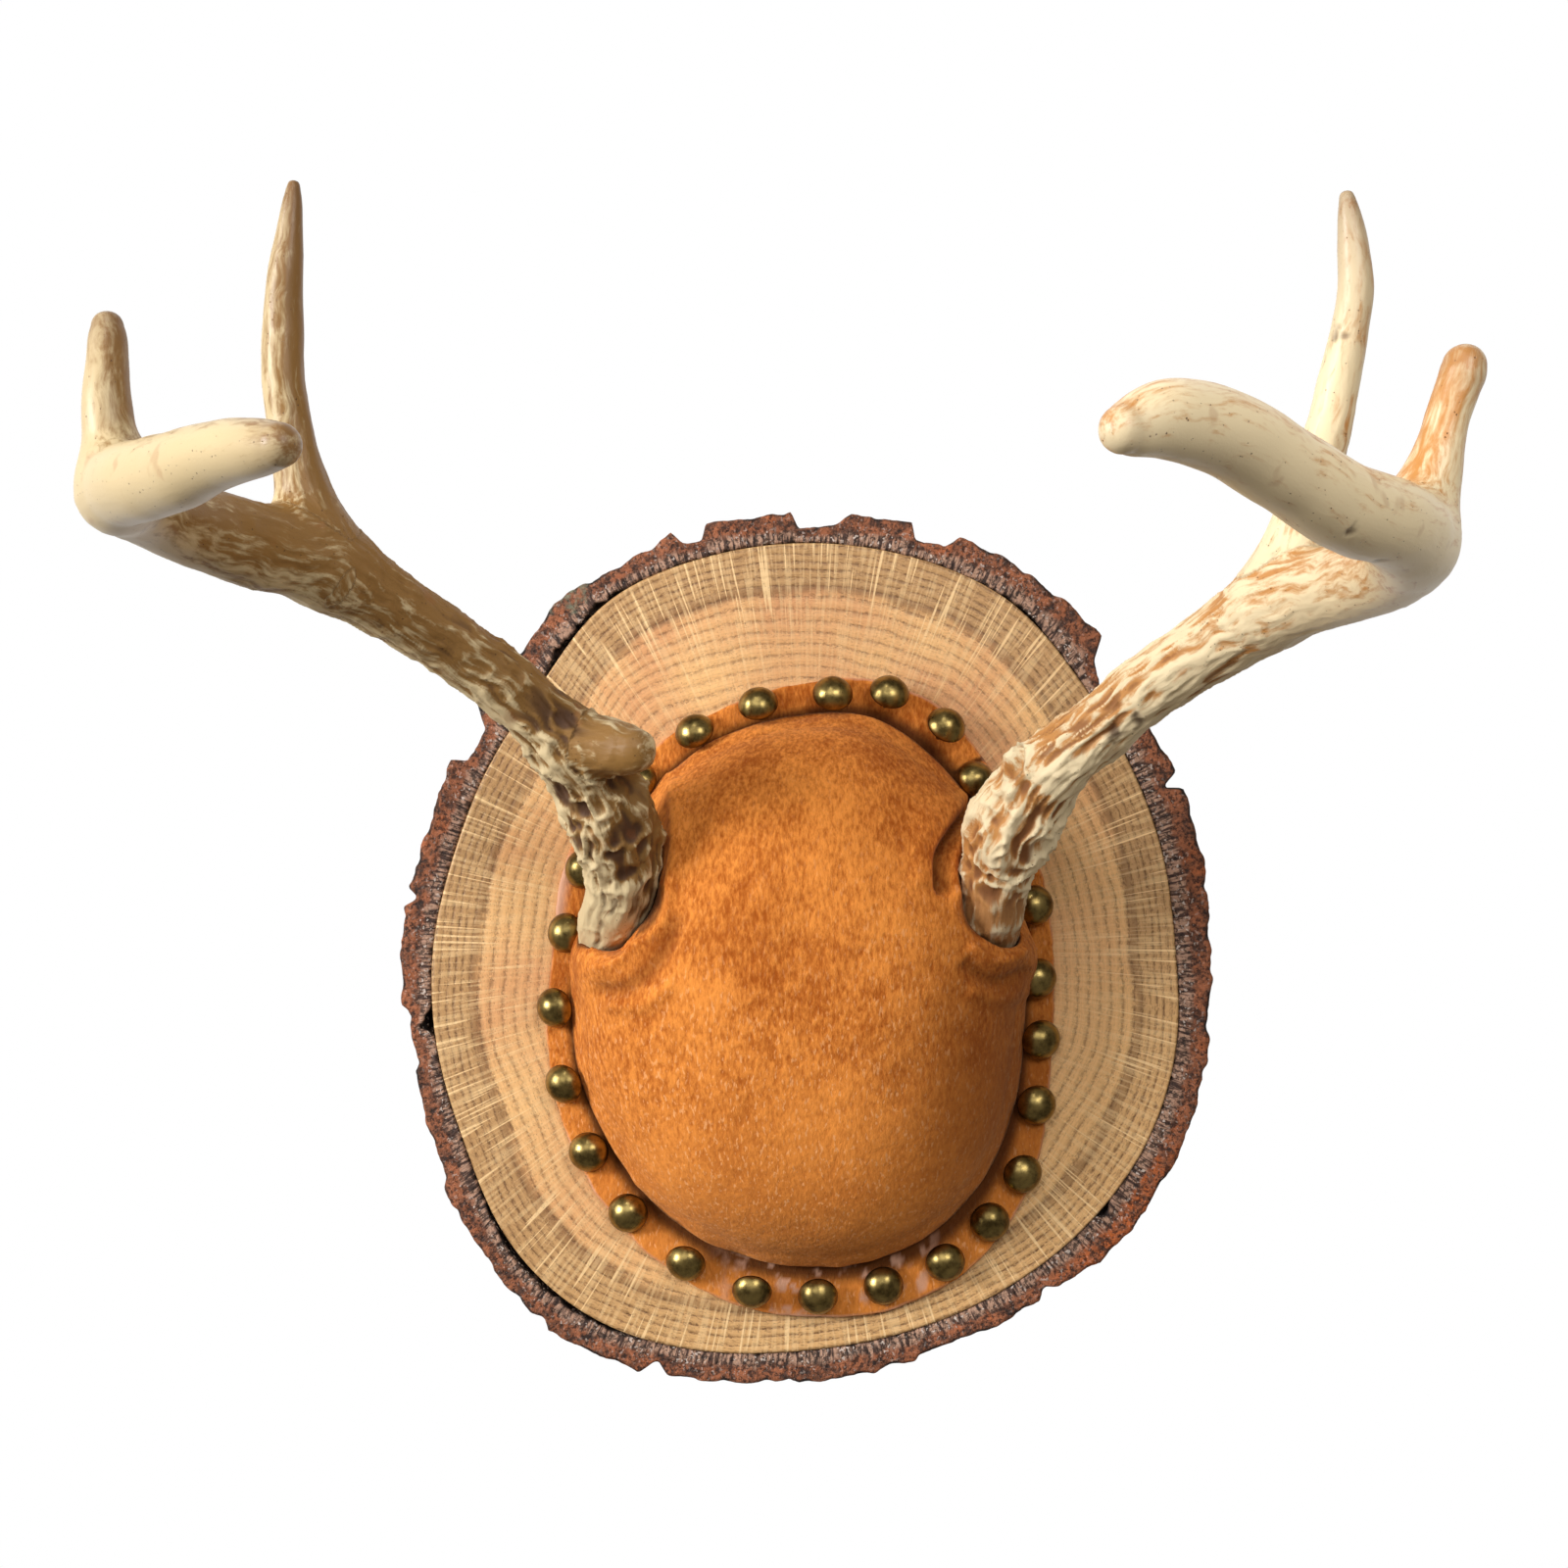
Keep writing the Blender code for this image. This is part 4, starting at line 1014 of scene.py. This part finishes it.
class PLAQUE_OT_suede_dome(Operator):
    """Model the suede dome with its pockets and folds"""

    bl_idname = "plaque.suede_dome"
    bl_label = "Suede dome"

    def execute(self, context):
        looks = context.scene.plaque_suede
        low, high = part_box("suede_cap")
        bottom, top = high.y / MM, low.y / MM
        foot_y = bottom - 2.3
        tuck = 6.3
        foot = outline(flat_loops("suede_cap", bottom)[-1], 6) + tuck
        crown = foot_y - top
        climbs = numpy.linspace(0, math.pi / 2, 40)
        profile = [(0, bottom), (0.9, bottom)]
        profile += [(1 + numpy.cos(climb) ** 0.75, foot_y - crown * numpy.sin(climb))
                    for climb in climbs[:-1]]
        profile.append((1, top))
        mesh = turned("suede_dome", profile, 240)
        points = read_points(mesh)
        shares, angles = round_place(points)
        edge = read_outline(foot, angles)
        share = numpy.clip(shares - 1, 0, 1)
        climb = foot_y - points[:, 1]
        under = points[:, 1] > foot_y + 0.01
        radii = numpy.where(under, (edge - tuck) * numpy.minimum(shares / 0.9, 1),
                            (edge - 3.2 * numpy.clip(climb / 9, 0, 1)) * share)
        lift = numpy.where(under, 0, 6 * (1 - share))
        points = on_ring(angles, radii, points[:, 1])
        points[:, 2] += lift
        set_points(mesh, points)
        normals = read_normals(mesh)
        for x, z, width, height in DOME_BULGES:
            away = numpy.hypot(points[:, 0] - x, points[:, 2] - z)
            rise = height * numpy.exp(-(away / width) ** 2) * soft_step(climb, 0.5, 5)
            points += normals * rise[:, None]
        set_points(mesh, points)
        weld(mesh)

        # Pockets for the feet, cut out and rounded
        gap = looks.pocket_gap / MM
        cutters = bpy.data.collections.new("pockets")
        hollows = [(beam[:7], gap) for beam in (LEFT_BEAM, RIGHT_BEAM)]
        hollows += [(rows, 0) for rows in (*MOUTHS, LIP_HOLLOW)]
        for rows, spare in hollows:
            cutters.objects.link(bpy.data.objects.new("pocket", tube("pocket", rows, spare)))
        mesh = modified(mesh, ("BOOLEAN", {"operand_type": "COLLECTION", "collection": cutters}),
                        ("REMESH", {"mode": "VOXEL", "voxel_size": looks.voxel}))
        for cutter in list(cutters.objects):
            bpy.data.objects.remove(cutter)
        points = read_points(mesh) / MM
        clear = [beside_limb(points, limb_line(rows))[0] - spare for rows, spare in hollows]
        mouth, pocket = numpy.min(clear, axis=0), numpy.min(clear[:-1], axis=0)
        smooth(mesh, 12, mouth < 6)
        smooth(mesh, 2)
        points, normals = read_points(mesh) / MM, read_normals(mesh)
        # Folds and soft waves
        outside = soft_step(mouth, 0.4, 2.2) * soft_step(-points[:, 1], SLICE_FACE + 2.6, SLICE_FACE + 5)
        rise = numpy.zeros(len(points))
        deep = numpy.zeros(len(points))
        for path, width, height in DOME_FOLDS:
            away, place = away_from_path(points, path)
            fade = soft_step(numpy.minimum(place, 1 - place), -0.02, 0.16)
            shape = numpy.exp(-(away / width) ** 2) * fade
            rise += height * shape
            # Creases are painted dark as shade
            deep += numpy.clip(-height * 0.3, 0, 0.9) * shape
        rise += looks.unevenness / MM * (0.6 * clouds(points, 14, 81) + 0.3 * clouds(points, 5, 82))
        pinch = soft_step(-points[:, 1], SLICE_FACE + 14, SLICE_FACE + 3)
        rise += pinch * 0.7 * rough(points, 9, 83, 2)
        points += normals * (rise * outside)[:, None]
        points[:, 1] = numpy.minimum(points[:, 1], -(SLICE_FACE + 0.3))
        set_points(mesh, points)
        mesh.shade_smooth()
        # Painted shade in the pockets round the antlers' feet and along the dome's foot
        deep = numpy.maximum(deep, soft_step(pocket, 0.8, -0.6))
        deep = numpy.maximum(deep, soft_step(-points[:, 1], SLICE_FACE + 4.6, SLICE_FACE + 3.2))
        keep_values(mesh, "deep", numpy.clip(deep, 0, 1))
        keep_values(mesh, "cut", numpy.zeros(len(points)))
        dome = add_piece("suede_dome", mesh, "suede", bpy.data.materials["Tan suede"], "suede_cap")
        return {"FINISHED"}


class PLAQUE_OT_nails(Operator):
    """Model the brass nails"""

    bl_idname = "plaque.nails"
    bl_label = "Brass nails"

    def execute(self, context):
        looks = context.scene.plaque_nails
        material = brass_finish(looks)
        sphere = (NAIL_RADIUS ** 2 + NAIL_RISE ** 2) / (2 * NAIL_RISE)
        slope = math.asin(NAIL_RADIUS / sphere)
        head = [(sphere * math.sin(slope * share), NAIL_RISE - sphere * (1 - math.cos(slope * share)))
                for share in numpy.linspace(0, 1, 10)]
        for number, (name, (top, tip)) in enumerate(nail_frames().items(), start=1):
            mesh = turned(f"brass_nail_{number:02d}", [*head, *NAIL_UNDERSIDE], looks.segments)
            points = read_points(mesh)
            dents = clouds(points + number * 17, 3.2, number)
            points[:, 1] -= looks.dent / MM * dents * soft_step(points[:, 1], 0.5, 2)
            keep_values(mesh, "rise", points[:, 1])
            axis = Vector(top - tip).normalized()
            turn = numpy.array(Vector((0, 1, 0)).rotation_difference(axis).to_matrix())
            set_points(mesh, points @ turn.T + top - numpy.array(axis) * NAIL_RISE)
            add_piece(mesh.name, mesh, "antique_brass", material, name)
        return {"FINISHED"}


def crests(points, size, seed, sharpness=3):
    """Uneven net of crests, 1 on a crest and falling to 0 in the hollows between them."""
    return (1 - numpy.abs(clouds(points, size, seed))) ** sharpness


def grow_antler(node, limbs, skins, stain_and_shade_sides, looks, seed):
    """Antler whose mesh starts as its CAD node's and is drawn out to the limbs' own skins."""
    solid = bmesh.new()
    solid.from_mesh(frame["nodes"][node].data)
    bmesh.ops.remove_doubles(solid, verts=solid.verts, dist=WELD)
    mesh = bpy.data.meshes.new("antler")
    solid.to_mesh(mesh)
    solid.free()
    mesh = modified(mesh, ("REMESH", {"mode": "VOXEL", "voxel_size": looks.voxel}))
    smooth(mesh, 6)
    lines = [limb_line(rows, rounded=True) for rows in limbs]
    points = read_points(mesh) / MM

    # Skin drawn out to the limbs, with fillets at the forks
    foot = lines[0]["centres"][0]
    behind_foot = ((points - foot) @ lines[0]["ahead"][0]) < 0.6
    fillet = looks.fork_fillet / MM
    for _ in range(4):
        gap, way, place = beside_limb(points, lines[0])
        for line in lines[1:]:
            other_gap, other_way, _ = beside_limb(points, line)
            share = numpy.clip(0.5 + 0.5 * (gap - other_gap) / fillet, 0, 1)
            gap = gap + (other_gap - gap) * share - fillet * share * (1 - share)
            way = way + (other_way - way) * share[:, None]
        points -= way * (gap * ~behind_foot)[:, None]
    points[behind_foot] -= FOOT_DEPTH * lines[0]["ahead"][0]
    set_points(mesh, points)
    smooth(mesh, 2)
    points, normals = read_points(mesh) / MM, read_normals(mesh)

    # Values of each limb's skin, blended where limbs meet
    gaps, layers = [], []
    for line, skin in zip(lines, skins):
        gap, way, place = beside_limb(points, line)
        count = numpy.arange(len(line["rows"]))
        index = numpy.clip(place.round().astype(int), 0, count[-1])
        row, along, radius = (numpy.interp(place, count, line[kind]) for kind in ("rows", "along", "radii"))
        way = way * (gap + radius)[:, None]
        sides = (line[side][index] for side in ("across", "upright", "ahead"))
        streak = numpy.stack([(way * side).sum(axis=1) for side in sides], axis=1)
        streak[:, 2] += along
        table = numpy.array(skin)
        values = [numpy.interp(row, table[:, 0], table[:, column]) for column in range(1, 5)]
        # Brown on one side of each limb: stain, and on the left antler's beam and tines painted shade on the
        # sides turned from the light
        values[2] += 0.45 * (normals @ numpy.array(stain_and_shade_sides[len(gaps)]))
        gaps.append(gap)
        layers.append(numpy.column_stack([*values, streak]))
    gaps = numpy.array(gaps)
    weights = numpy.exp(-(gaps - gaps.min(axis=0)) / 1.2)
    weights /= weights.sum(axis=0)
    blended = sum(weight[:, None] * layer for weight, layer in zip(weights, layers))
    knob, flute, stain, tip = blended[:, :4].T
    streak = numpy.array(layers)[gaps.argmin(axis=0), numpy.arange(len(points)), 4:]

    # Knobs of the burr and flutes along the limbs
    size = looks.knob_size / MM
    wander = numpy.stack([clouds(points, 5, seed + axis) for axis in range(3)], axis=1)
    grain = (streak + 1.3 * wander) * (1, 1, 0.6)
    lumps = 0.5 * crests(grain, size, seed) + 0.35 * crests(grain, size * 0.5, seed + 7)
    lumps += 0.15 * (0.5 + 0.5 * rough(grain, 2.4, seed + 9))
    fibre = (streak + 1.1 * wander) * (1, 1, 0.15)
    ribs = 0.4 * crests(fibre, 2.8, seed + 1, 2) + 0.35 * crests(fibre, 1.5, seed + 5, 2)
    ribs += 0.25 * (0.5 + 0.5 * rough(fibre, 1.6, seed + 2))
    relief = 2.0 * knob * (lumps - 0.35) + 1.6 * flute * (ribs - 0.5) + 0.25 * clouds(points, 9, seed + 3)
    marks = numpy.zeros(len(points))
    for x, height, z, width in ANTLER_MARKS:
        away = numpy.linalg.norm((points - (x, -(SLICE_FACE + height), z)) * (1, 0.6, 1), axis=1)
        marks = numpy.maximum(marks, soft_step(away + 1.5 * rough(points, 3, 91), width + 1, width - 1))
    relief -= 0.5 * marks
    relief *= soft_step((points - foot) @ lines[0]["ahead"][0], 0, 4)
    set_points(mesh, points + normals * relief[:, None])
    mesh.shade_smooth()
    # Hollows between the knobs and along the flutes: stained, and painted darker as shade
    deep = numpy.clip(knob / 1.2, 0, 1) * soft_step(lumps, 0.48, 0.12)
    deep = numpy.maximum(deep, numpy.clip(flute, 0, 1) * soft_step(ribs, 0.5, 0.2) * 0.8)
    crest = numpy.maximum(numpy.clip(knob, 0, 1) * soft_step(lumps, 0.48, 0.75),
                          numpy.clip(flute, 0, 1) * soft_step(ribs, 0.5, 0.75))
    keep_values(mesh, "deep", numpy.clip(deep, 0, 1))
    keep_values(mesh, "mark", 0.85 * marks)
    keep_values(mesh, "stain", stain - 0.6 * crest)
    keep_values(mesh, "tip", tip * 0.8)
    keep_values(mesh, "rough", numpy.clip(knob + flute, 0, 1))
    keep_values(mesh, "streak", fibre * MM)
    return mesh


class PLAQUE_OT_antlers(Operator):
    """Model both antlers"""

    bl_idname = "plaque.antlers"
    bl_label = "Antlers"

    def execute(self, context):
        looks = context.scene.plaque_antlers
        material = antler_finish(looks)
        left = grow_antler("left_antler",
                           (LEFT_BEAM, LEFT_BROW, LEFT_LONG_TINE, LEFT_SHORT_TINE),
                           (LEFT_BEAM_SKIN, LEFT_BROW_SKIN, LEFT_LONG_SKIN, LEFT_SHORT_SKIN),
                           ((0.8, 0, 0.6), (-0.5, -1, -0.3), (0.9, 0, 0.2), (0.9, 0, 0.2)), looks, 101)
        right = grow_antler("right_antler",
                            (RIGHT_BEAM, RIGHT_BROW, RIGHT_LONG_TINE, RIGHT_SHORT_TINE),
                            (RIGHT_BEAM_SKIN, RIGHT_BROW_SKIN, RIGHT_LONG_SKIN, RIGHT_SHORT_SKIN),
                            ((-0.4, 0, 0.5), (0, 0, 0), (0.3, 0, 0.2), (-0.3, 0, 0.2)), looks, 201)
        add_piece("antler_on_the_left", left, "antler", material, "left_antler")
        add_piece("antler_on_the_right", right, "antler", material, "right_antler")
        return {"FINISHED"}


def add_light(name, place, size, power):
    """Soft light that faces the slice's centre."""
    light = bpy.data.lights.new(name, "AREA")
    light.size = size
    light.energy = power
    lamp = bpy.data.objects.new(name, light)
    lamp.location = place
    lamp.rotation_euler = (-Vector(place)).to_track_quat("-Z", "Y").to_euler()
    bpy.context.scene.collection.objects.link(lamp)


class PLAQUE_OT_studio(Operator):
    """Set up the camera, the lights and the backdrop"""

    bl_idname = "plaque.studio"
    bl_label = "Studio"

    def execute(self, context):
        looks = context.scene.plaque_studio
        scene = context.scene
        scene.view_settings.view_transform = "Standard"
        camera = bpy.data.objects.new("camera", bpy.data.cameras.new("camera"))
        camera.data.lens = looks.lens
        camera.location = (looks.camera_x, -(SLICE_FACE * MM + looks.camera_distance), looks.camera_z)
        camera.rotation_euler = (math.radians(90), 0, 0)
        scene.collection.objects.link(camera)
        scene.camera = camera

        cove = bmesh.new()
        curve = [(FLOOR_REACH + COVE_RADIUS * math.sin(turn), FLOOR_Z + COVE_RADIUS * (1 - math.cos(turn)))
                 for turn in numpy.linspace(0, math.pi / 2, 12)]
        profile = [(0.02, FLOOR_Z), *curve, (FLOOR_REACH + COVE_RADIUS, COVE_TOP)]
        corners = [cove.verts.new((radius, 0, z)) for radius, z in profile]
        edges = [cove.edges.new(pair) for pair in zip(corners, corners[1:])]
        bmesh.ops.spin(cove, geom=corners + edges, cent=(0, 0, 0), axis=(0, 0, 1), dvec=(0, 0, 0),
                       angle=math.tau, steps=96, use_merge=True)
        bmesh.ops.holes_fill(cove, edges=cove.edges, sides=96)
        bmesh.ops.recalc_face_normals(cove, faces=cove.faces)
        mesh = bpy.data.meshes.new("backdrop")
        cove.to_mesh(mesh)
        cove.free()
        mesh.shade_smooth()
        paper = Finish("Backdrop paper", Roughness=1.0, Specular_IOR_Level=0.0)
        paper.shader.inputs["Base Color"].default_value = (0, 0, 0, 1)
        behind = paper.between(paper.toward((0, 1, 0)), 0.3, 3.0)
        glow = paper.plus(paper.times(behind, looks.back_glow - looks.front_glow), looks.front_glow)
        colour = paper.mix(behind, looks.front_paper[:], looks.back_paper[:])
        paper.tree.links.new(colour, paper.shader.inputs["Emission Color"])
        paper.tree.links.new(glow, paper.shader.inputs["Emission Strength"])
        mesh.materials.append(paper.material)
        backdrop = bpy.data.objects.new("backdrop", mesh)
        scene.collection.objects.link(backdrop)

        world = bpy.data.worlds.new("studio")
        world.use_nodes = True
        sky = world.node_tree.nodes["Background"]
        sky.inputs["Color"].default_value = (1, 0.985, 0.96, 1)
        sky.inputs["Strength"].default_value = looks.sky_strength
        scene.world = world
        for name, place, size, setting in LIGHTS:
            add_light(name, place, size, getattr(looks, setting))
        return {"FINISHED"}


class PLAQUE_PT_panel(Panel):
    """Lists the pieces of the plaque"""

    bl_idname = "PLAQUE_PT_panel"
    bl_label = "Antler plaque"
    bl_space_type = "VIEW_3D"
    bl_region_type = "UI"
    bl_category = "Plaque"

    def draw(self, context):
        for operator in OPERATORS:
            self.layout.operator(operator.bl_idname)
        for name, group in LOOKS.items():
            box = self.layout.box()
            box.label(text=group.__doc__)
            for setting in group.__annotations__:
                box.prop(getattr(context.scene, name), setting)


LOOKS = {
    "plaque_slice": SliceLooks,
    "plaque_bark": BarkLooks,
    "plaque_suede": SuedeLooks,
    "plaque_nails": NailLooks,
    "plaque_antlers": AntlerLooks,
    "plaque_studio": StudioLooks,
}
OPERATORS = (PLAQUE_OT_studio, PLAQUE_OT_oak_slice, PLAQUE_OT_bark, PLAQUE_OT_suede_strip,
             PLAQUE_OT_suede_dome, PLAQUE_OT_nails, PLAQUE_OT_antlers)


def register():
    for name, group in LOOKS.items():
        bpy.utils.register_class(group)
        setattr(bpy.types.Scene, name, PointerProperty(type=group))
    for operator in OPERATORS:
        bpy.utils.register_class(operator)
    bpy.utils.register_class(PLAQUE_PT_panel)


def unregister():
    bpy.utils.unregister_class(PLAQUE_PT_panel)
    for operator in reversed(OPERATORS):
        bpy.utils.unregister_class(operator)
    for name, group in reversed(LOOKS.items()):
        delattr(bpy.types.Scene, name)
        bpy.utils.unregister_class(group)


def main():
    register()
    bpy.ops.plaque.studio()
    bpy.ops.plaque.oak_slice()
    bpy.ops.plaque.bark()
    bpy.ops.plaque.suede_strip()
    bpy.ops.plaque.suede_dome()
    bpy.ops.plaque.nails()
    bpy.ops.plaque.antlers()


if __name__ == "__main__":
    main()
